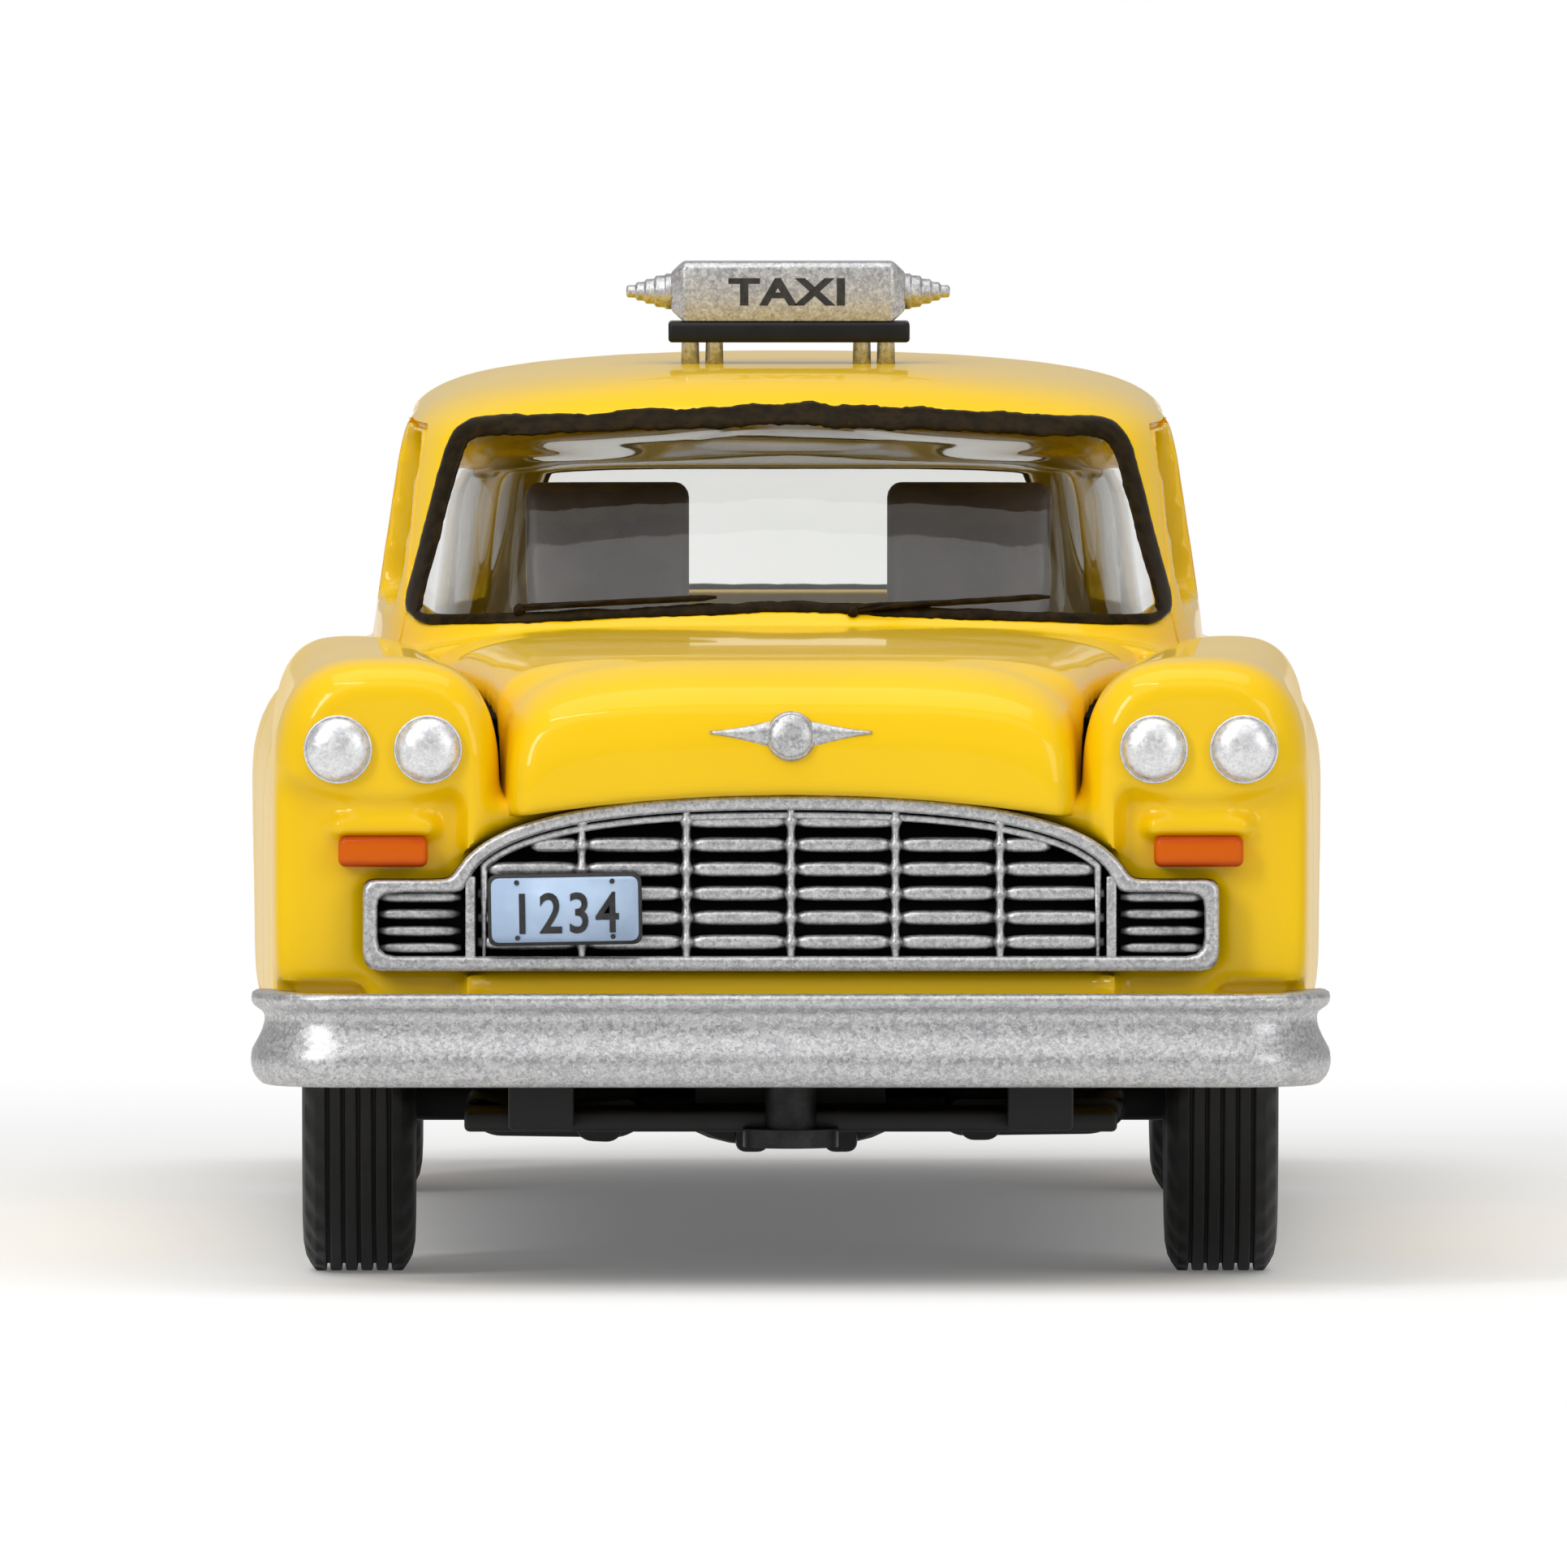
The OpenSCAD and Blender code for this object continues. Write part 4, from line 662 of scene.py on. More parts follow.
def plate_seat(node, play):
    """A shallow pocket in the tail for the number plate."""
    low, high = box(node)
    return box_object("cutter", (low.x - play, low.y - 0.05, low.z - play),
                      (high.x + play, high.y + 5, high.z + play))


# %% Build the shell
WALL, WING_FOOT = 1.0, 8.35
ARCH_R, ARCH_X, ARCH_L, ARCH_IN, ARCH_OUT = 6.5, 13.4, 8.2, 9.3, 17.5
shell = lower_body()
for part in (wing(-1), wing(1), boot_lid(), cabin()):
    combine(shell, part, "UNION")
nose_panel = box_object("nose_panel", (-12.6, NOSE_Y + 0.3, 7.1), (12.6, COWL_Y, 13.3), 0.25)
combine(shell, nose_panel, "UNION")
for cutter in (
        lower_body(WALL, 6.0), boot_lid(WALL), cabin(WALL),
        prism(valley_outline(-36.2, HINGE_Y, 0.55), "Z", 3.0, 30.0),
        prism(valley_outline(NOSE_Y - 1.5, HINGE_Y, 0.03), "Z", 15.5, 30.0),
        prism(valley_outline(NOSE_Y - 1.5, LIP_Y + 0.21 * BONNET_L, 0.02), "Z", 13.3, 28.0),
        drum(ROLL_R + 0.22, (0, HINGE_Y, HINGE_Z), (1, 0, 0), 2 * valley(HINGE_Y) + 0.2),
        grille_seat(),
        prism(screen_outline, "Y", -20, -6.5), prism(rear_outline, "Y", 14.8, 26),
        prism(front_pane_outline, "X", -20, 20), prism(rear_pane_outline, "X", -20, 20),
        plate_seat("rear_plate", 0.14)):
    combine(shell, cutter, "DIFFERENCE")
for side in (-1, 1):
    combine(shell, chin_cutter(side), "DIFFERENCE")
    inner, outer = sorted((side * 11.5, side * 17.0))
    combine(shell, box_object("cutter", (inner, -50, 0), (outer, -36.0, WING_FOOT)), "DIFFERENCE")
    middle = side * LAMP_X
    brow = box_object("brow", (middle - 1.5, -37.5, 12.38), (middle + 1.5, -36.6, 12.86), 0.16)
    combine(shell, brow, "UNION")
    inner, outer = sorted((side * ARCH_IN, side * ARCH_OUT))
    for y in (FRONT_AXLE, REAR_AXLE):
        combine(shell, drum(ARCH_R, (side * ARCH_X, y, AXLE_Z), (1, 0, 0), ARCH_L), "DIFFERENCE")
        below = box_object("cutter", (inner, y - ARCH_R, -1), (outer, y + ARCH_R, AXLE_Z))
        combine(shell, below, "DIFFERENCE")
print("shell before softening:", len(shell.data.polygons))


# %% [markdown]
# ### Softening
#
# A voxel remesh turns the cut union into one even skin, a few rounds of smoothing pull its edges
# round like thick paint, and a decimation then drops the faces that flat areas don't need.

# %% Soften the shell
def soften(ob, voxel, rounds, target):
    """Rounds every edge of a closed mesh and keeps it under a number of triangles."""
    modified(ob, "REMESH", mode="VOXEL", voxel_size=voxel * MM, adaptivity=0.0)
    modified(ob, "SMOOTH", factor=0.5, iterations=rounds)
    triangles = 2 * len(ob.data.polygons)
    if triangles > target:
        modified(ob, "DECIMATE", decimate_type="COLLAPSE", ratio=target / triangles)
    ob.data.materials.clear()
    shade(ob)


shell.name = "body"
soften(shell, 0.2, 8, 172000)


# %% [markdown]
# ### Door lines
#
# On such a casting the doors don't open: a fine groove round each one is cut into the mould. A ring of
# that outline is pushed in from the side, and a slightly smaller body is taken out of it first, so that
# the groove keeps one depth on the curved sides. It is cut after the softening, which would fill it.
# The cut leaves many-sided faces and slivers along its edges: the faces are split into triangles, the
# shortest edges are closed up, and normals weighted by area keep a sliver from bending the shading.

# %% Door lines
LINE_W, LINE_DEEP, SLIVER = 0.17, 0.17, 0.02
front_door = rounded([
    (-11.7, 6.1), (-1.05, 6.1), (-1.05, 22.6), (-7.57, 22.6), (-11.7, 17.3)], 0.6)
rear_door = rounded([
    (-0.75, 6.1), (11.4, 6.1), (14.7, 12.0), (15.1, 17.3), (13.15, 22.6), (-0.75, 22.6)], 0.6)


def shrink(outline, by):
    """Moves every point of an outline inwards."""
    turns = zip(outline[-1:] + outline[:-1], outline, outline[1:] + outline[:1])
    return [here - Vector((after - before).normalized().yx) * Vector((by, -by))
            for before, here, after in turns]


for side in (-1, 1):
    for door in (front_door, rear_door):
        bm = bmesh.new()
        lines = ((door, 5), (door, 17), (shrink(door, LINE_W), 17), (shrink(door, LINE_W), 5))
        loft(bm, [[Vector((side * x, p.x, p.y)) for p in line] for line, x in lines], closed=True)
        groove = add_object("groove", bm)
        for form in (lower_body(LINE_DEEP), cabin(LINE_DEEP), wing(side, LINE_DEEP)):
            combine(groove, form, "DIFFERENCE")
        combine(shell, groove, "DIFFERENCE")
bm = bmesh.new()
bm.from_mesh(shell.data)
bmesh.ops.triangulate(bm, faces=bm.faces)
bmesh.ops.collapse(bm, edges=[edge for edge in bm.edges if edge.calc_length() < SLIVER * MM])
print("edges without two faces:", sum(len(edge.link_faces) != 2 for edge in bm.edges))
bm.to_mesh(shell.data)
bm.free()
shade(shell, 35)
modified(shell, "WEIGHTED_NORMAL", mode="FACE_AREA", keep_sharp=True)
repaint(shell, yellow)
attach(shell, "body", "yellow_paint", "body_shell")


# %% [markdown]
# ## The bonnet
#
# The bonnet is one more loft, hollow below, with a rolled rear edge that turns on the hinge pin. It
# follows the wings at a constant gap, because its half width is read from the same valley. Two notches
# in the roll leave room for the eyes that hold the pin.

# %% Bonnet
BONNET_GAP, EYE_X, EYE_R, EYE_HALF = 0.07, 5.6, 0.78, 0.86


def bonnet_form(inset=0.0, drop=0.0):
    rings = []
    for t, lost, top, foot in stations(bonnet_rows):
        y = LIP_Y + t * BONNET_L
        half = (valley(y) - BONNET_GAP) * (1 - lost) - inset
        z_foot = BONNET_H * foot - drop
        arched = 0.62 * max(0.0, 1 - max(0.0, t - 0.1) / 0.1) if t < 0.2 else 0.0
        ring = section(0, half, z_foot - 0.02, z_foot, BONNET_H * top - inset, 4, 4)
        ring = [(x, z - arched * (x / half) ** 2 * max(0.0, 1 - (z - z_foot) / 2.2)) for x, z in ring]
        rings.append(along_y(y + (inset if t < 0.5 else 0), ring))
    return lofted("bonnet_form", rings)


bonnet = bonnet_form()
hollow = bonnet_form(0.8, 1.0)
rear_edge = box_object("rear_edge", (-20, HINGE_Y - ROLL_R - 0.2, 5), (20, HINGE_Y + 5, 25))
combine(hollow, rear_edge, "DIFFERENCE")
combine(bonnet, hollow, "DIFFERENCE")
behind = box_object("behind", (-20, HINGE_Y, 5), (20, HINGE_Y + 5, 25))
combine(behind, drum(ROLL_R, (0, HINGE_Y, HINGE_Z), (1, 0, 0), 30), "DIFFERENCE")
combine(bonnet, behind, "DIFFERENCE")
for side in (-1, 1):
    eye = side * EYE_X
    for cutter in (
            drum(EYE_R, (eye, HINGE_Y, HINGE_Z), (1, 0, 0), 2 * EYE_HALF),
            box_object("cutter", (eye - EYE_HALF, HINGE_Y - EYE_R, 13),
                       (eye + EYE_HALF, HINGE_Y + 3, HINGE_Z)),
            box_object("cutter", (eye - EYE_HALF, HINGE_Y, HINGE_Z - ROLL_R),
                       (eye + EYE_HALF, HINGE_Y + 2 * ROLL_R, HINGE_Z + 0.7))):
        combine(bonnet, cutter, "DIFFERENCE")
bonnet.name = "bonnet_panel"
soften(bonnet, 0.14, 8, 90000)
repaint(bonnet, yellow_bonnet)
attach(bonnet, "bonnet", "yellow_paint", "bonnet")


# %% [markdown]
# ## Trim bar on the nose
#
# A small rounded bar with a boss in the middle stands on the bonnet's nose. It is a loft along X whose
# sections swell towards the middle, so it catches one bright spot like a cast ornament.

# %% Trim bar
def ellipse(count, wide, high, centre=(0.0, 0.0)):
    return [(centre[0] + wide * math.cos(a), centre[1] + high * math.sin(a)) for a in angles(count)]


def along_x(x, points):
    return [Vector((x, y, z)) for y, z in points]


bar_low, bar_high = box("bonnet_trim_bar")
bar_mid = (bar_low + bar_high) / 2
rings = []
for i in range(33):
    u = -1 + i / 16
    high = 0.06 + 0.5 * (1 - abs(u)) ** 1.3
    ring = ellipse(16, 0.2 + 0.1 * (1 - abs(u)), high, (bar_mid.y + 0.06, bar_mid.z + 0.1 * abs(u)))
    rings.append(along_x(bar_mid.x + u * (bar_high.x - bar_low.x) / 2, ring))
bm = bmesh.new()
loft(bm, rings)
boss = [(0, -0.3), (0.68, -0.3), (0.68, 0.02), (0.62, 0.12)]
boss += [(0.6 * math.cos(a), 0.12 + 0.2 * math.sin(a)) for a in quarter(8)]
revolve(bm, boss, (bar_mid.x, bar_mid.y - 0.1, bar_mid.z), (0, -1, 0.12), 40)
attach(add_object("trim_bar", bm, silver), "bonnet", "silver_paint", "bonnet_trim_bar")


# %% [markdown]
# ## Windows
#
# One clear moulding sits inside the cabin and fills every opening, just as the toy is made. It is the
# cabin form again, a little smaller, minus a still smaller one. The glass lets shadow rays through, so
# that the seats behind it get light without slow caustics.

# %% Clear plastic
def clear_plastic():
    made, shader, place = material("clear_plastic", Transmission_Weight=1.0, IOR=1.3)
    cloud = grain(place, 300.0)
    feed(shader, Base_Color=cloud.mix((0.86, 0.87, 0.85, 1), (0.92, 0.92, 0.91, 1)), Roughness=cloud * 0.03)
    tree = made.node_tree
    clear = tree.nodes.new("ShaderNodeBsdfTransparent")
    clear.inputs["Color"].default_value = (0.88, 0.88, 0.87, 1)
    blend_surface(made, shader, clear, rays(tree, "Shadow", "Diffuse"))
    return made


GLASS_OUTSIDE, GLASS_INSIDE = 1.08, 1.58
glass = cabin(GLASS_OUTSIDE)
hollow = cabin(GLASS_INSIDE)
hollow.data.transform(Matrix.Translation((0, 0, -0.05 * MM)))
combine(glass, hollow, "DIFFERENCE")
glass.name = "windows"
repaint(glass, clear_plastic())
shade(glass, 40)
attach(glass, "body", "clear_plastic", "window_unit")


# %% [markdown]
# ### Black window seals
#
# The seal is painted by hand along the edge of the opening, so its width wanders. A narrow domed strip
# follows the opening's outline; each of its points is laid on the cabin's own surface and lifted a little.

# %% Seals
NEAR = 0.02
SEAL_PROFILE = (
    (-1, -1.2), (-1, 0.2), (-0.75, 0.75), (-0.3, 1), (0.3, 1), (0.75, 0.75), (1, 0.15), (1, -1.2))


def cabin_surface(end):
    """A function for the depth of the cabin's front (-1) or rear (1) face at one place."""
    def depth(x, z):
        front, rear, half, n, _ = tier((z - BELT) / (ROOF - BELT))
        bulge = (rear - front) / 2 * max(1e-4, 1 - abs(x / half) ** n) ** (1 / n)
        return (front + rear) / 2 + end * bulge
    return depth


front_surface, rear_surface = cabin_surface(-1), cabin_surface(1)


def slopes(surface, x, z):
    """How fast a surface falls back along X and along Z."""
    return ((surface(x + NEAR, z) - surface(x - NEAR, z)) / (2 * NEAR),
            (surface(x, z + NEAR) - surface(x, z - NEAR)) / (2 * NEAR))


def unsteady(point, layer, fine_layer):
    """The wander of a hand: slow noise with a little quick noise."""
    quick = noise.noise(Vector((point.x * 5, point.y * 5, fine_layer)))
    return noise.noise(Vector((point.x, point.y, layer))) + 0.5 * quick


def even_points(outline, count):
    """Points at equal steps along a closed outline."""
    points = [Vector(p) for p in outline]
    lengths = [(b - a).length for a, b in zip(points, points[1:] + points[:1])]
    step, made, passed, i = sum(lengths) / count, [], 0.0, 0
    for k in range(count):
        while passed + lengths[i] < k * step and i < len(points) - 1:
            passed += lengths[i]
            i += 1
        u = (k * step - passed) / max(lengths[i], 1e-9)
        made.append(points[i].lerp(points[(i + 1) % len(points)], min(1.0, u)))
    return made


def seal(outline, surface, facing, widths, lift, wander, count):
    """A domed strip along an outline. widths gives its reach inwards and outwards for each direction.

    Where the surface turns away it is calmer and narrower, because its points lie further apart there."""
    points = even_points(outline, count)
    rings = []
    for i, point in enumerate(points):
        along = (points[(i + 1) % count] - points[i - 1]).normalized()
        out = Vector((along.y, -along.x))
        inner, outer = widths(out)
        steep = abs(slopes(surface, point.x, point.y)[0])
        uneven = wander / (1 + steep)
        outer /= 1 + 0.3 * steep * abs(out.x)
        inner *= 1 + uneven * unsteady(point, 3.1, 1)
        outer *= 1 + uneven * unsteady(point, 9.7, 7)
        ring = []
        for u, rise in SEAL_PROFILE:
            reach = u * (outer if u > 0 else inner)
            x, z = point.x + out.x * reach, point.y + out.y * reach
            slope_x, slope_z = slopes(surface, x, z)
            normal = Vector((slope_x, -1, slope_z)).normalized() * facing
            ring.append(Vector((x, surface(x, z), z)) + normal * lift * rise)
        rings.append(ring)
    bm = bmesh.new()
    loft(bm, rings, closed=True)
    return bm


def screen_widths(out):
    """Wide at the pillars and the top, narrow along the foot."""
    if out.y < -0.6:
        return 0.14, 0.14
    if out.y > 0.6:
        return 0.27, 0.27
    return 0.3, 0.26


bm = seal(screen_outline, front_surface, 1, screen_widths, 0.04, 0.42, 420)
attach(add_object("windscreen_seal", bm, trim_black), "body", "black_plastic")
bm = seal(rear_outline, rear_surface, -1, lambda out: (0.16, 0.18), 0.08, 0.2, 180)
attach(add_object("rear_window_seal", bm, trim_black), "body", "black_plastic")


# %% [markdown]
# ### Wipers
#
# Two thin blades lie along the foot of the windscreen, each with an arm and a pivot. They follow the
# curve of the glass, so their points come from the same surface as the seal.

# %% Wipers
def tube(bm, path, radius, count=10):
    """A round bar along a path of points, with a ball-like taper at both ends."""
    rings = []
    for i, point in enumerate(path):
        along = (path[min(i + 1, len(path) - 1)] - path[max(i - 1, 0)]).normalized()
        side = along.orthogonal().normalized()
        up = along.cross(side)
        r = radius * (0.45 if i in (0, len(path) - 1) else 1.0)
        rings.append([point + side * r * math.cos(a) + up * r * math.sin(a) for a in angles(count)])
    loft(bm, rings)


for name, side in (("wiper_left", 1), ("wiper_right", -1)):
    low, high = box(name)
    start, end = low.x, high.x
    bm = bmesh.new()
    blade = []
    for i in range(15):
        u = i / 14
        x = start + (end - start) * u
        z = 17.78 + 0.28 * u + 0.05 * noise.noise(Vector((x, side, 0)))
        blade.append(Vector((x, front_surface(x, z) - 0.14, z)))
    tube(bm, blade, 0.09)
    arm = ((0, -0.06, -0.1), 0), ((0, -0.12, -0.02), 3), ((0, -0.07, 0.03), 7)
    tube(bm, [blade[i] + Vector(lift) for lift, i in arm], 0.07)
    revolve(bm, [(0, -0.2), (0.17, -0.2), (0.17, 0.06), (0.1, 0.12), (0, 0.13)],
            blade[0] + Vector((0, 0, -0.1)), (0, -1, 0.2), 16)
    attach(add_object(name + "_blade", bm, trim_black), "body", "black_plastic", name)


# %% [markdown]
# ## Grille
#
# The grille is one moulding with a raised frame, thick level bars and beaded uprights. A thin black wash
# settles in its recesses: the material reads how deep a point lies and darkens it, with noise so that the
# edge of the wash is uneven.

# %% Grille
GRILLE_FRONT, GRILLE_Y = (corner.y for corner in box("grille_insert"))
UPRIGHT_PITCH, ROW_PITCH, POST_X, ARCH_RIDGE_X = 2.845, 0.662, 8.72, 8.35
bar_front, bar_back = GRILLE_FRONT + 0.2, GRILLE_FRONT + 0.86
rows = [9.5 + ROW_PITCH * i for i in range(6)]
uprights = [k * UPRIGHT_PITCH for k in range(-2, 3)]


def grille_wash(place):
    """1 in the recesses, 0 on the raised parts."""
    depth = axis_of(place, "Y") + grain(place, 1500.0, 2.0) * 0.00022
    return depth.step((GRILLE_FRONT + 0.34) * MM, (GRILLE_FRONT + 0.56) * MM)


def band(bm, outer, inner, back, front, round_over=0.12):
    """A raised rim between two outlines of equal count, rounded at its front."""
    def ring(points, y):
        return [Vector((p[0], y, p[1])) for p in points]

    def between(u):
        return [Vector(a).lerp(Vector(b), u) for a, b in zip(outer, inner)]

    crown = ((0.12, 0.03), (0.3, 0), (0.7, 0), (0.88, 0.03))
    rings = [ring(outer, back), ring(outer, front + round_over)]
    rings += [ring(between(u), front + sunk) for u, sunk in crown]
    rings += [ring(inner, front + round_over), ring(inner, back)]
    loft(bm, rings, closed=True)


def arch_half(z):
    """Half length of a level bar inside the arch."""
    x = POST_X - 0.15
    while x > 1 and grille_top(x, 0.5) < z + 0.12:
        x -= 0.05
    return x


def spindle(bm, start, end, z, high, front, back):
    """A level bar that thins towards its ends."""
    rings = []
    for i in range(9):
        u = i / 8
        fill = (1 - abs(2 * u - 1) ** 6) * 0.4 + 0.6
        ring = []
        for a in angles(20):
            y = (front + back) / 2 + (back - front) / 2 * fill * power(math.cos(a), 3)
            ring.append((y, z + high / 2 * fill * power(math.sin(a), 3)))
        rings.append(along_x(start + (end - start) * u, ring))
    loft(bm, rings)


bm = bmesh.new()
floor_ys = (GRILLE_Y, GRILLE_FRONT + 0.72)
loft(bm, [[Vector((x, y, z)) for x, z in grille_outline(0.1)] for y in floor_ys])
band(bm, grille_outline(0), grille_outline(0.4), GRILLE_Y, GRILLE_FRONT)
for z in rows:
    half = arch_half(z)
    stops = [-half] + [x for x in uprights if abs(x) < half - 0.3] + [half]
    for start, end in zip(stops, stops[1:]):
        front = bar_front + 0.03 * noise.noise(Vector((start, z, 1)))
        spindle(bm, start + 0.05, end - 0.05, z, 0.42, front, bar_back)
for x in uprights:
    top = grille_top(x, 0.35)
    rings = []
    steps = 64
    for i in range(steps + 1):
        z = GRILLE_LOW + 0.2 + (top - GRILLE_LOW - 0.2) * i / steps
        near = min(abs(z - row) for row in rows)
        r = 0.1 + 0.09 * math.exp(-(near / 0.14) ** 2)
        bead = ellipse(10, r, r * 1.3, (0, GRILLE_FRONT + 0.26))
        rings.append([Vector((x + px, py, z)) for px, py in bead])
    loft(bm, rings)
for side in (-1, 1):
    block(bm, (side * POST_X - 0.14, GRILLE_FRONT + 0.06, GRILLE_LOW + 0.2),
          (side * POST_X + 0.14, GRILLE_Y, GRILLE_SIDE_TOP + 0.1), 0.06)
    inner, outer = sorted((side * (POST_X + 0.25), side * (GRILLE_END - 0.42)))
    for i in range(4):
        spindle(bm, inner, outer, GRILLE_LOW + 0.62 + 0.46 * i, 0.3, bar_front + 0.08, bar_back)
ridge = [(ARCH_RIDGE_X, GRILLE_LOW + 0.3)]
for i in range(61):
    x = ARCH_RIDGE_X * math.cos(math.pi * i / 60)
    ridge.append((x, grille_top(x, 0.55)))
ridge.append((-ARCH_RIDGE_X, GRILLE_LOW + 0.3))
tube(bm, along_y(GRILLE_FRONT + 0.24, ridge), 0.1, 8)
grille_silver = silver_paint("silver_grille", grille_wash)
attach(add_object("grille", bm, grille_silver), "body", "silver_paint", "grille_insert")


# %% [markdown]
# ## Bumpers
#
# One profile with two lips and a hollow between them runs along the front and round both corners. The
# sweep places the same ring of points at each step of the path, turned to face outwards. The rear bar is
# the same sweep, turned about.

# %% Bumpers
BUMPER_LOW, BUMPER_H, BUMPER_T = 5.6, 2.56, 1.2
BUMPER_HALF, BUMPER_CORNER, BUMPER_SIDE = 14.7, 2.6, 1.6
BRACKET_X, BRACKET_HALF = 6.8, 0.7
bumper_profile = [
    (0, 0.02), (0.62, 0), (0.74, 0.015), (0.84, 0.06), (0.91, 0.1), (0.96, 0.15), (0.995, 0.22), (1, 0.28),
    (0.97, 0.34), (0.9, 0.41), (0.82, 0.49), (0.74, 0.58), (0.69, 0.67), (0.69, 0.74), (0.74, 0.79),
    (0.84, 0.83), (0.94, 0.87), (0.99, 0.92), (0.97, 0.965), (0.88, 0.99), (0.76, 1), (0, 0.98)]


def bumper(name, node, turn):
    """A swept bar with two brackets. turn is 1 at the front and -1 at the rear."""
    path = []
    straight = BUMPER_HALF - BUMPER_CORNER
    for i in range(4):
        path.append(((-BUMPER_HALF, BUMPER_CORNER + BUMPER_SIDE * (1 - i / 4)), (-1, 0)))
    for a in quarter(16):
        corner = (-straight - BUMPER_CORNER * math.cos(a), BUMPER_CORNER * (1 - math.sin(a)))
        path.append((corner, (-math.cos(a), -math.sin(a))))
    path += [((-straight + 2 * straight * i / 24, 0), (0, -1)) for i in range(1, 24)]
    path += [((-x, y), (-nx, ny)) for (x, y), (nx, ny) in reversed(path[:21])]
    low, high = box(node)
    rings = []
    for i, ((x, y), (nx, ny)) in enumerate(path):
        taper = 0.86 if i in (0, len(path) - 1) else 1.0
        ring = []
        for deep, tall in bumper_profile:
            inward = BUMPER_T * (1 - deep)
            z = BUMPER_LOW + BUMPER_H * (0.5 + (tall - 0.5) * taper)
            px, py = x - nx * inward, y - ny * inward
            ring.append(Vector((px, low.y + py, z)) if turn > 0 else Vector((-px, high.y - py, z)))
        rings.append(ring)
    bm = bmesh.new()
    loft(bm, rings)
    inner, outer = (low.y + 0.6, low.y + 3.2) if turn > 0 else (high.y - 3.2, high.y - 0.6)
    for side in (-1, 1):
        x = side * BRACKET_X
        block(bm, (x - BRACKET_HALF, inner, 5.9), (x + BRACKET_HALF, outer, 6.9), 0.12)
    attach(shade(add_object(name, bm, silver), 50), "body", "silver_paint", node)


bumper("front_bumper_bar", "front_bumper", 1)
bumper("rear_bumper_bar", "rear_bumper", -1)


# %% [markdown]
# ## Lamps and plates
#
# Each headlamp is a profile spun round its own axis: a thin rim and a shallow dome. The turn signals are
# rounded blocks of amber plastic under a small brow, and the tail lamps are upright capsules.

# %% Lamps
for node in ("headlamp_left_outer", "headlamp_left_inner", "headlamp_right_inner", "headlamp_right_outer"):
    low, high = box(node)
    r = (high.x - low.x) / 2
    profile = [(0, 0), (r, 0), (r * 1.02, 0.52), (r * 1.0, 0.57), (r * 0.97, 0.58), (r * 0.94, 0.55)]
    profile += [(r * 0.93 * math.cos(a), 0.54 + 0.42 * math.sin(a)) for a in quarter(12)]
    bm = bmesh.new()
    revolve(bm, profile, ((low.x + high.x) / 2, high.y, (low.z + high.z) / 2), (0, -1, 0), 48)
    attach(add_object(node + "_dome", bm, lamp_silver), "body", "silver_paint", node)


def amber_plastic():
    """Painted shade: the lens is deeper orange towards its top and bottom edges."""
    made, shader, place = material(
        "amber_plastic", Coat_Weight=0.15, Coat_Roughness=0.08, Specular_IOR_Level=0.1)
    cloud = grain(place, 1600.0)
    low, high = box("turn_signal_left")
    up = (axis_of(place, "Z") - (low.z + high.z) / 2 * MM) / ((high.z - low.z) / 2 * MM)
    # Painted shade: darker orange towards the top and bottom of the lens, with a little noise.
    edge = up.math("ABSOLUTE") + cloud * 0.25
    feed(shader, Base_Color=edge.step(0.5, 1.15).mix(colour(208, 92, 0), colour(176, 58, 0)),
         Roughness=0.3 + cloud * 0.1)
    return made


amber = amber_plastic()
for node in ("turn_signal_left", "turn_signal_right"):
    low, high = box(node)
    bm = bmesh.new()
    block(bm, low, high, 0.2, 5)
    attach(add_object(node + "_lens", bm, amber), "body", "amber_plastic", node)
for node in ("tail_lamp_left", "tail_lamp_right"):
    low, high = box(node)
    wide, mid = (high.x - low.x) / 2, (low + high) / 2
    rise = (high.z - low.z) / 2 - wide
    rings = []
    for share, y in ((1, low.y), (1, high.y - 0.2), (0.93, high.y - 0.06), (0.75, high.y)):
        outline = []
        for a in angles(40):
            z = mid.z + wide * share * math.sin(a) + math.copysign(rise, math.sin(a))
            outline.append((mid.x + wide * share * math.cos(a), z))
        rings.append(along_y(y, outline))
    attach(lofted(node + "_lens", rings, red), "body", "red_plastic", node)


# %% [markdown]
# ### Number plates
#
# A plate is a thin card: a dark rounded edge, a pale face, four fixing dots and plain digits. The digits
# come from Blender's own font, turned into a mesh so that they export with the rest.

# %% Plates
def writing(bm, words, size, centre, facing, thick=0.02, stretch=1.0, spacing=1.12, bold=0.0):
    """Adds flat letters to a mesh, standing upright and facing along -Y or +Y."""
    curve = bpy.data.curves.new("letters", "FONT")
    curve.body = words
    curve.align_x = "CENTER"
    curve.align_y = "CENTER"
    curve.size = size
    curve.extrude = thick
    curve.space_character = spacing
    curve.offset = bold
    curve.resolution_u = 4
    holder = bpy.data.objects.new("letters", curve)
    scene.collection.objects.link(holder)
    graph = bpy.context.evaluated_depsgraph_get()
    mesh = bpy.data.meshes.new_from_object(holder.evaluated_get(graph))
    turn = Matrix.Rotation(math.pi / 2, 4, "X")
    if facing > 0:
        turn = Matrix.Rotation(math.pi, 4, "Z") @ turn
    mesh.transform(Matrix.Translation(centre) @ turn @ Matrix.Diagonal((stretch, 1, 1, 1)))
    bm.from_mesh(mesh)
    bpy.data.objects.remove(holder)
    bpy.data.curves.remove(curve)
    bpy.data.meshes.remove(mesh)


PLATE_TILT = math.radians(-1.0)


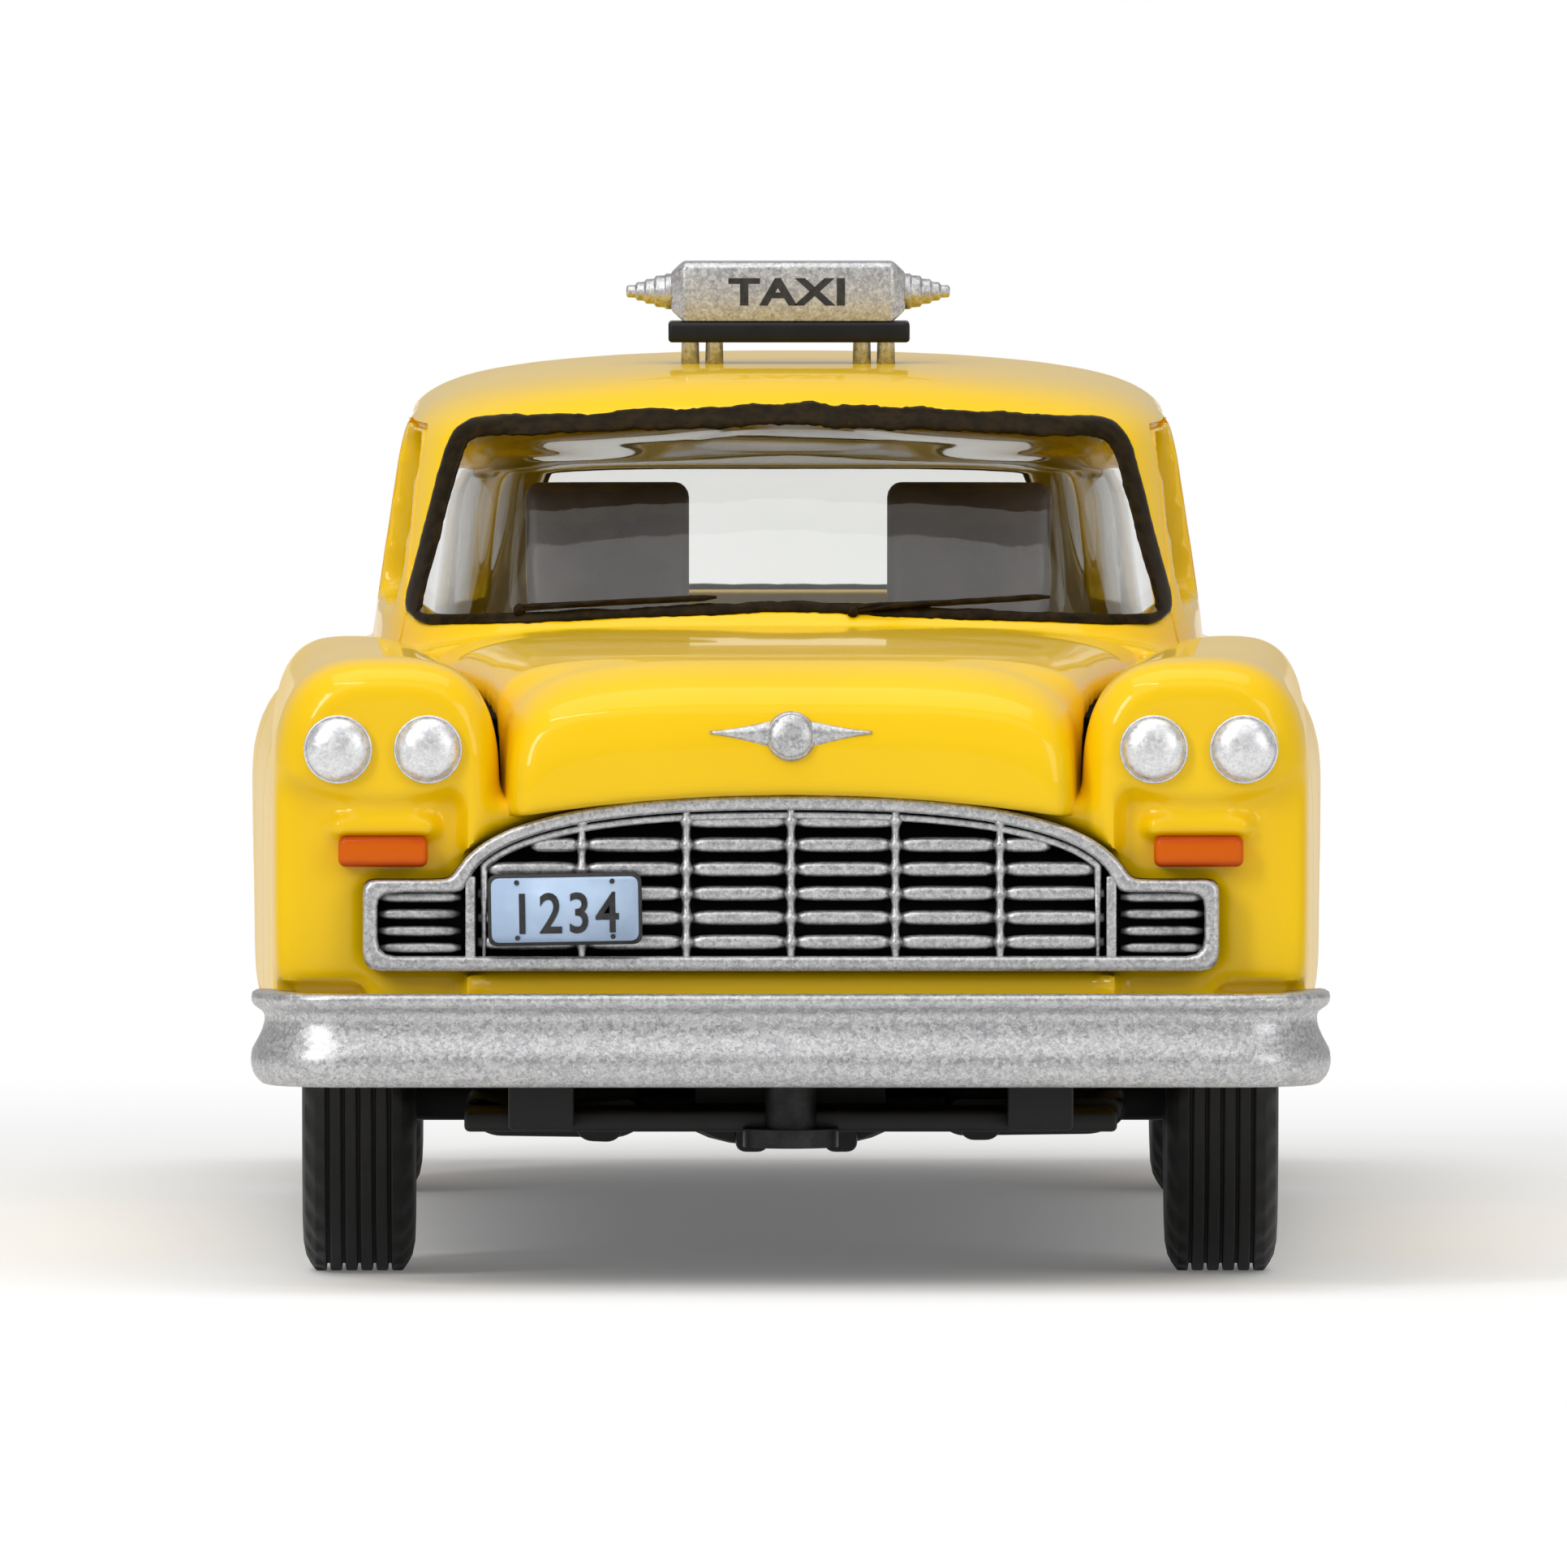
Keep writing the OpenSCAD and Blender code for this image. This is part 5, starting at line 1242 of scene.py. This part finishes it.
def card(mid, y, half_w, half_h, radius):
    """One flat outline with rounded corners round a middle point."""
    corners = [(-half_w, -half_h), (half_w, -half_h), (half_w, half_h), (-half_w, half_h)]
    return [Vector((mid.x + x, y, mid.z + z)) for x, z in rounded(corners, radius, 6)]


def number_plate(node, facing):
    """Edge, face and marks of a plate. facing is -1 at the front and 1 at the rear."""
    low, high = box(node)
    mid, half_w, half_h = (low + high) / 2, (high.x - low.x) / 2, (high.z - low.z) / 2
    front, back = (low.y, high.y) if facing < 0 else (high.y, low.y)
    layers = ((back, 1), (front - facing * 0.06, 1), (front - facing * 0.03, 0.985))
    edge = lofted(node + "_edge", [card(mid, y, half_w * s, half_h * s, 0.28) for y, s in layers], ink)
    rings = [card(mid, y, half_w - 0.1, half_h - 0.1, 0.24) for y in (back + facing * 0.1, front)]
    face = lofted(node + "_face", rings, plate_blue)
    bm = bmesh.new()
    writing(bm, "1234", 1.55, Vector((mid.x, front, mid.z - 0.16)), facing, spacing=1.18, stretch=0.85,
            bold=0.02)
    for x in (-1, 1):
        for z in (-1, 1):
            revolve(bm, [(0, -0.05), (0.07, -0.05), (0.07, 0.02), (0, 0.03)],
                    (mid.x + x * half_w * 0.62, front, mid.z + z * (half_h - 0.22)), (0, facing, 0), 14)
    marks = add_object(node + "_marks", bm, ink, smooth=False)
    tilt = Matrix.Rotation(PLATE_TILT, 4, "Y")
    for piece in (edge, face, marks):
        piece.data.transform(Matrix.Translation(mid * MM) @ tilt @ Matrix.Translation(-mid * MM))
        attach(piece, "body", "plate_plastic", *([node] if piece is face else []))


number_plate("front_plate", -1)
number_plate("rear_plate", 1)


# %% [markdown]
# ## Roof sign
#
# The sign is a silver box with bevelled edges whose ends draw in like a pyramid, then a stepped cone on
# each end. A dark plinth on small feet carries it, and one plain word stands on its front and its back.

# %% Roof sign
SIGN_CUT = 0.16
sign_low, sign_high = box("sign_box")
mid, half = (sign_low + sign_high) / 2, (sign_high - sign_low) / 2


def sign_section(scale):
    """The box seen from its end, with two cut corners at the top."""
    points = [(-1, -1 + 0.02), (1, -1 + 0.02), (1, 1 - SIGN_CUT), (1 - SIGN_CUT, 1), (-1 + SIGN_CUT, 1),
              (-1, 1 - SIGN_CUT)]
    return [(mid.y + y * half.y * scale, mid.z + z * half.z * scale) for y, z in points]


bm = bmesh.new()
stops = ((-1, 0.62), (-0.935, 0.86), (-0.9, 0.97), (-0.885, 1),
         (0.885, 1), (0.9, 0.97), (0.935, 0.86), (1, 0.62))
loft(bm, [along_x(mid.x + u * half.x, sign_section(share)) for u, share in stops])
sign = add_object("sign", bm, silver, smooth=False)
modified(sign, "BEVEL", width=0.05 * MM, segments=2, limit_method="ANGLE", angle_limit=math.radians(25))
attach(shade(sign, 35), "body", "silver_paint", "sign_box")
for node, side in (("sign_cap_left", 1), ("sign_cap_right", -1)):
    low, high = box(node)
    foot = low.x if side > 0 else high.x
    length, r = high.x - low.x, (high.z - low.z) / 2
    profile = [(0, -0.25), (0.62 * r, -0.25), (0.62 * r, 0.12 * length)]
    for share, start, end in ((0.56, 0.14, 0.34), (0.44, 0.38, 0.56), (0.33, 0.6, 0.76), (0.22, 0.8, 0.97)):
        profile += [(share * r, start * length), (share * r * 0.97, end * length)]
    profile += [(0.12 * r, length), (0, length)]
    bm = bmesh.new()
    revolve(bm, profile, (foot, (low.y + high.y) / 2, (low.z + high.z) / 2), (side, 0, 0), 32)
    cap = add_object(node + "_cone", bm, silver, smooth=False)
    modified(cap, "BEVEL", width=0.025 * MM, segments=2, limit_method="ANGLE", angle_limit=math.radians(30))
    attach(shade(cap, 40), "body", "silver_paint", node)
low, high = box("sign_plinth_piece")
bm = bmesh.new()
block(bm, (low.x + 0.05, low.y, low.z + 0.3), high, 0.1)
attach(add_object("sign_plinth", bm, black), "body", "black_plastic", "sign_plinth_piece")
bm = bmesh.new()
foot_profile = [(0, -0.6), (0.26, -0.6), (0.24, 0.35), (0.27, 0.52), (0, 0.52)]
for x in (-2.72, -2.05, 2.05, 2.72):
    for y in (low.y + 0.45, high.y - 0.45):
        revolve(bm, foot_profile, (x, y, low.z), (0, 0, 1), 24)
attach(add_object("sign_feet", bm, silver), "body", "black_plastic")
bm = bmesh.new()
for y, facing in ((sign_low.y, -1), (sign_high.y, 1)):
    centre = Vector((0, y, (sign_low.z + sign_high.z) / 2 - 0.03))
    writing(bm, "TAXI", 1.02, centre, facing, thick=0.015, stretch=1.35, spacing=1.1, bold=0.035)
attach(add_object("sign_word", bm, ink, smooth=False), "body", "silver_paint")


# %% [markdown]
# ## Wheels
#
# A tyre is one profile spun round its axle: six ribs with grooves between them, round shoulders and a
# flat side wall. After the spin, two of every four steps of the shoulder are pulled in to cut small lugs.

# %% Wheels
TYRE_R, TYRE_W, HUB_R, WHEEL_X = 5.55, 3.1, 3.5, 11.8
TREAD_W, RIBS, GROOVE_SHARE, GROOVE_DEEP = TYRE_W * 0.78, 6, 0.34, 0.2
TYRE_STEPS, LUG_FROM_R, LUG_FROM_X, LUG_DEEP = 128, 5.25, 1.15, 0.13


def tyre_profile():
    """Side wall, ribs with grooves between them, and the other side wall."""
    rib = TREAD_W / (RIBS + (RIBS - 1) * GROOVE_SHARE)
    pitch, floor_r = rib * (1 + GROOVE_SHARE), TYRE_R - GROOVE_DEEP
    wall = [(HUB_R - 0.05, -1.2), (HUB_R + 0.12, -1.34), (HUB_R + 0.5, -1.5), (4.3, -1.55), (4.75, -1.53),
            (5.1, -1.46), (5.33, -1.34)]
    points = list(wall)
    for i in range(RIBS):
        start = -TREAD_W / 2 + i * rib * (1 + GROOVE_SHARE)
        points += [(TYRE_R - 0.03, start), (TYRE_R, start + 0.04), (TYRE_R, start + rib - 0.04),
                   (TYRE_R - 0.03, start + rib)]
        if i < RIBS - 1:
            points += [(floor_r, start + rib + 0.02), (floor_r, start + pitch - 0.02)]
    return points + [(r, -h) for r, h in reversed(wall)] + wall[:1]


hub_profile = [
    (0, -1.35), (3.4, -1.35), (3.66, -1.2), (3.5, -1.1), (3.5, 1.1), (3.66, 1.2), (3.62, 1.34), (3.4, 1.38),
    (3.2, 1.28), (3.05, 0.9), (2.75, 0.62), (2.3, 0.6), (2.15, 0.68), (2.05, 0.95), (1.9, 1.08),
    (1.6, 1.16), (1.1, 1.25), (0.5, 1.33), (0, 1.35)]
for end, y in (("front", FRONT_AXLE), ("rear", REAR_AXLE)):
    for name, side in (("left", 1), ("right", -1)):
        centre = Vector((side * WHEEL_X, y, AXLE_Z))
        body = f"{end}_wheels"
        bm = bmesh.new()
        revolve(bm, tyre_profile(), centre, (1, 0, 0), TYRE_STEPS)
        for vert in bm.verts:
            out = vert.co - centre
            r = math.hypot(out.y, out.z)
            turn = round(math.atan2(out.z, out.y) / math.tau * TYRE_STEPS) % TYRE_STEPS
            if r > LUG_FROM_R and abs(out.x) > LUG_FROM_X and turn % 4 < 2:
                vert.co -= Vector((0, out.y, out.z)) / r * LUG_DEEP
        tyre = shade(add_object(f"{end}_tyre_{name}_rubber", bm, rubber), 35)
        attach(tyre, body, "tyre", f"{end}_tyre_{name}")
        bm = bmesh.new()
        revolve(bm, hub_profile, centre, (side, 0, 0), 72)
        rim = shade(add_object(f"{end}_hub_{name}_rim", bm, bright), 45)
        attach(rim, body, "bright_metal", f"{end}_hub_{name}")


# %% [markdown]
# ## Base and interior
#
# The black base shows under the bumper: a cross-member with two blocks, the sump in the middle with its
# ribs, and the plate behind. Rounded blocks with generous bevels read as moulded plastic.

# %% Base
def cross_bar(bm, outline, front, rear):
    """A moulded block with a rounded outline seen from the front and softened ends."""
    middle_x = sum(p[0] for p in outline) / len(outline)
    middle_z = sum(p[1] for p in outline) / len(outline)
    points = rounded(outline, 0.3, 5)
    rings = []
    for y, share in ((front, 0.93), (front + 0.12, 0.98), (front + 0.3, 1), (rear - 0.3, 1), (rear, 0.95)):
        rings.append([Vector((middle_x + (x - middle_x) * share, y, middle_z + (z - middle_z) * share))
                      for x, z in points])
    loft(bm, rings)


def base_plate():
    """The whole base in one mesh: plate, bearings, bumper seats, suspension, sump and exhaust."""
    bm = bmesh.new()
    low, high = box("chassis_base")
    neck, wide, under, top = 8.9, 12.3, 3.8, 4.8
    block(bm, (-neck, low.y + 1.2, 4.2), (neck, FRONT_AXLE + 3, top), 0.15)
    block(bm, (-neck, FRONT_AXLE + 2, under), (neck, high.y, top), 0.15)
    block(bm, (-wide, FRONT_AXLE + 6.9, under), (wide, REAR_AXLE - 6.9, top), 0.15)
    for y in (FRONT_AXLE, REAR_AXLE):
        for x in (-7.5, 7.5):
            block(bm, (x - 1.05, y - 1.6, 3.95), (x + 1.05, y + 1.6, 6.7), 0.2)
    for x in (-BRACKET_X, BRACKET_X):
        for y in (low.y + 0.9, high.y - 0.9):
            block(bm, (x - 0.9, y - 0.88, 4.3), (x + 0.9, y + 0.88, 6.85), 0.12)
    # Suspension blocks on both sides, each with a foot, then two ribs under the sump
    block_ys, foot_ys = (-6, 2), (-6.6, -4)
    for outline, (front, rear) in (
            ([(-8.85, 5.0), (-8.8, 4.35), (-8.2, 3.95), (-4.6, 3.9), (-4.1, 4.15), (-4.05, 5.0)], block_ys),
            ([(-6.0, 4.4), (-5.7, 3.84), (-4.75, 3.8), (-4.4, 4.4)], foot_ys),
            ([(4.2, 5.0), (4.25, 4.1), (4.6, 3.95), (8.4, 4.0), (9.1, 4.35), (9.2, 5.0)], block_ys),
            ([(4.5, 4.4), (4.75, 3.86), (5.6, 3.86), (5.9, 4.4)], foot_ys),
            ([(-1.55, 4.6), (-1.49, 3.46), (-0.61, 3.46), (-0.55, 4.6)], (-5.0, 3.6)),
            ([(0.88, 4.6), (0.94, 3.46), (1.82, 3.46), (1.88, 4.6)], (-5.0, 3.6))):
        cross_bar(bm, outline, FRONT_AXLE + front, FRONT_AXLE + rear)
    # Sump
    rings = []
    for i in range(13):
        u = -1 + i / 6
        r = 1 - 0.12 * u ** 4
        ring = []
        for a in angles(24):
            deep = 0.95 * r if math.sin(a) < 0 else 0.4
            ring.append((3.05 * r * power(math.cos(a), 2.4), 4.45 + deep * power(math.sin(a), 2.2)))
        rings.append(along_y(FRONT_AXLE + u * 4.5, ring))
    loft(bm, rings)
    # Axle case and exhaust pipe
    axle_case = [(0, -0.5), (2.4, -0.5), (2.7, -0.2), (2.7, 0.5), (0, 0.5)]
    revolve(bm, axle_case, (0, REAR_AXLE, 4.1), (0, 0, -1), 36)
    tube(bm, [Vector((-4.5, y, 4.3)) for y in range(-21, 17, 2)], 0.55, 14)
    return bm


plate = add_object("base", base_plate(), black)
attach(shade(plate, 40), "body", "black_plastic", "chassis_base")


SEAT_H = 4.6


def seat(node, outline, bevel):
    """A seat as a rounded side outline, pushed across the car and bevelled."""
    low, high = box(node)
    ob = prism(rounded(outline, 0.6, 5), "X", low.x, high.x)
    ob.name = node + "_shape"
    modified(ob, "BEVEL", width=bevel * MM, segments=4, limit_method="ANGLE", angle_limit=math.radians(50))
    repaint(ob, seat_brown)
    attach(shade(ob, 60), "body", "trim_plastic", node)


for node, back, lean in (
        ("front_seat_left", 1.8, 1.0), ("front_seat_right", 1.8, 1.0), ("rear_seat", 1.7, 0.0)):
    low, high = box(node)
    seat(node, [(low.y, low.z), (high.y - lean, low.z), (high.y, high.z), (high.y - back * 0.75, high.z),
                (high.y - lean - back, low.z + SEAT_H), (low.y, low.z + SEAT_H)], 0.4)


# %% Dress the CAD pieces that stay
def dress(finish, *nodes):
    """Gives CAD nodes a finish of their own."""
    for node in nodes:
        repaint(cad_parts[node], finish)


dress(steel, "bonnet_hinge_pin", "front_axle", "rear_axle")
dress(dark_steel, "base_screws")
dress(tub_grey, "interior_tub")
dress(black, "dashboard", "steering_wheel", "engine_insert")
print("kept CAD nodes dressed")


# %% [markdown]
# ## Floor, light and camera
#
# The photograph was taken with a long lens in a white studio. The floor is pale near the car, where it
# takes the soft shadow, and turns into plain white further out, so no horizon shows. Large soft lights
# hang above, because small lamps would make hard spots on the enamel.

# %% Floor
WHITE_NEAR, WHITE_REACH = 0.13, 0.06


def studio_floor():
    made, shader, place = material("studio_floor", Specular_IOR_Level=0.1)
    cloud = grain(place, 20.0)
    feed(shader, Base_Color=cloud.mix((0.93, 0.93, 0.93, 1), (0.95, 0.95, 0.95, 1)),
         Roughness=0.8 + cloud * 0.1)
    tree = made.node_tree
    off_side = (axis_of(place, "X").math("ABSOLUTE") - HALF_W * MM).math("MAXIMUM", 0.0)
    off_end = (axis_of(place, "Y").math("ABSOLUTE") - TAIL_Y * MM).math("MAXIMUM", 0.0)
    distance = (off_side * off_side + off_end * off_end).math("SQRT")
    far = WHITE_NEAR + (1 - WHITE_NEAR) * distance.step(0.0, WHITE_REACH)
    white = tree.nodes.new("ShaderNodeEmission")
    white.inputs["Color"].default_value = (1, 1, 1, 1)
    seen = rays(tree, "Camera", "Glossy", "Transmission")
    tree.links.new((0.6 + seen * 0.4).socket, white.inputs["Strength"])
    blend_surface(made, shader, white, far)
    return made


bm = bmesh.new()
bmesh.ops.create_grid(bm, x_segments=8, y_segments=8, size=2500)
floor = add_object("floor", bm, studio_floor(), smooth=False)


# %% Light
world = bpy.data.worlds.new("studio")
scene.world = world
world.use_nodes = True
tree = world.node_tree
back = next(n for n in tree.nodes if n.type == "BACKGROUND")
seen = rays(tree, "Camera", "Transmission")
tree.links.new((0.5 + seen * 0.5).socket, back.inputs["Strength"])
back.inputs["Color"].default_value = (1, 1, 1, 1)


def softbox(name, place, aim, wide, high, power_w):
    """A rectangular area light that points at a place."""
    light = bpy.data.lights.new(name, "AREA")
    light.shape = "RECTANGLE"
    light.size, light.size_y = wide * MM, high * MM
    light.energy = power_w
    ob = bpy.data.objects.new(name, light)
    scene.collection.objects.link(ob)
    ob.location = Vector(place) * MM
    ob.rotation_euler = (Vector(aim) * MM - ob.location).to_track_quat("-Z", "Y").to_euler()


softbox("top", (0, -30, 260), (0, 0, 10), 260, 200, 0.25)
softbox("left_front", (-190, -240, 170), (0, -20, 12), 60, 150, 0.32)
softbox("right_front", (220, -260, 120), (0, -20, 12), 120, 160, 0.18)
softbox("strip", (-75, -130, 230), (0, -37, 16), 110, 8, 0.05)
softbox("front_card", (0, -270, 290), (0, -37, 10), 340, 130, 0.13)
print("lights:", len(bpy.data.lights))


# %% Camera
LENS_MM, CAMERA_PLACE, LOOK_DOWN, LOOK_ASIDE = 1341.6, (-3.5, -1625.9, 76.9), 2.275, -0.119
camera = bpy.data.cameras.new("camera")
camera.lens = LENS_MM
camera.clip_start, camera.clip_end = 0.1, 20
camera_ob = bpy.data.objects.new("camera", camera)
scene.collection.objects.link(camera_ob)
camera_ob.location = Vector(CAMERA_PLACE) * MM
camera_ob.rotation_euler = (math.radians(90 - LOOK_DOWN), 0, math.radians(LOOK_ASIDE))
scene.camera = camera_ob
scene.view_settings.view_transform = "Standard"
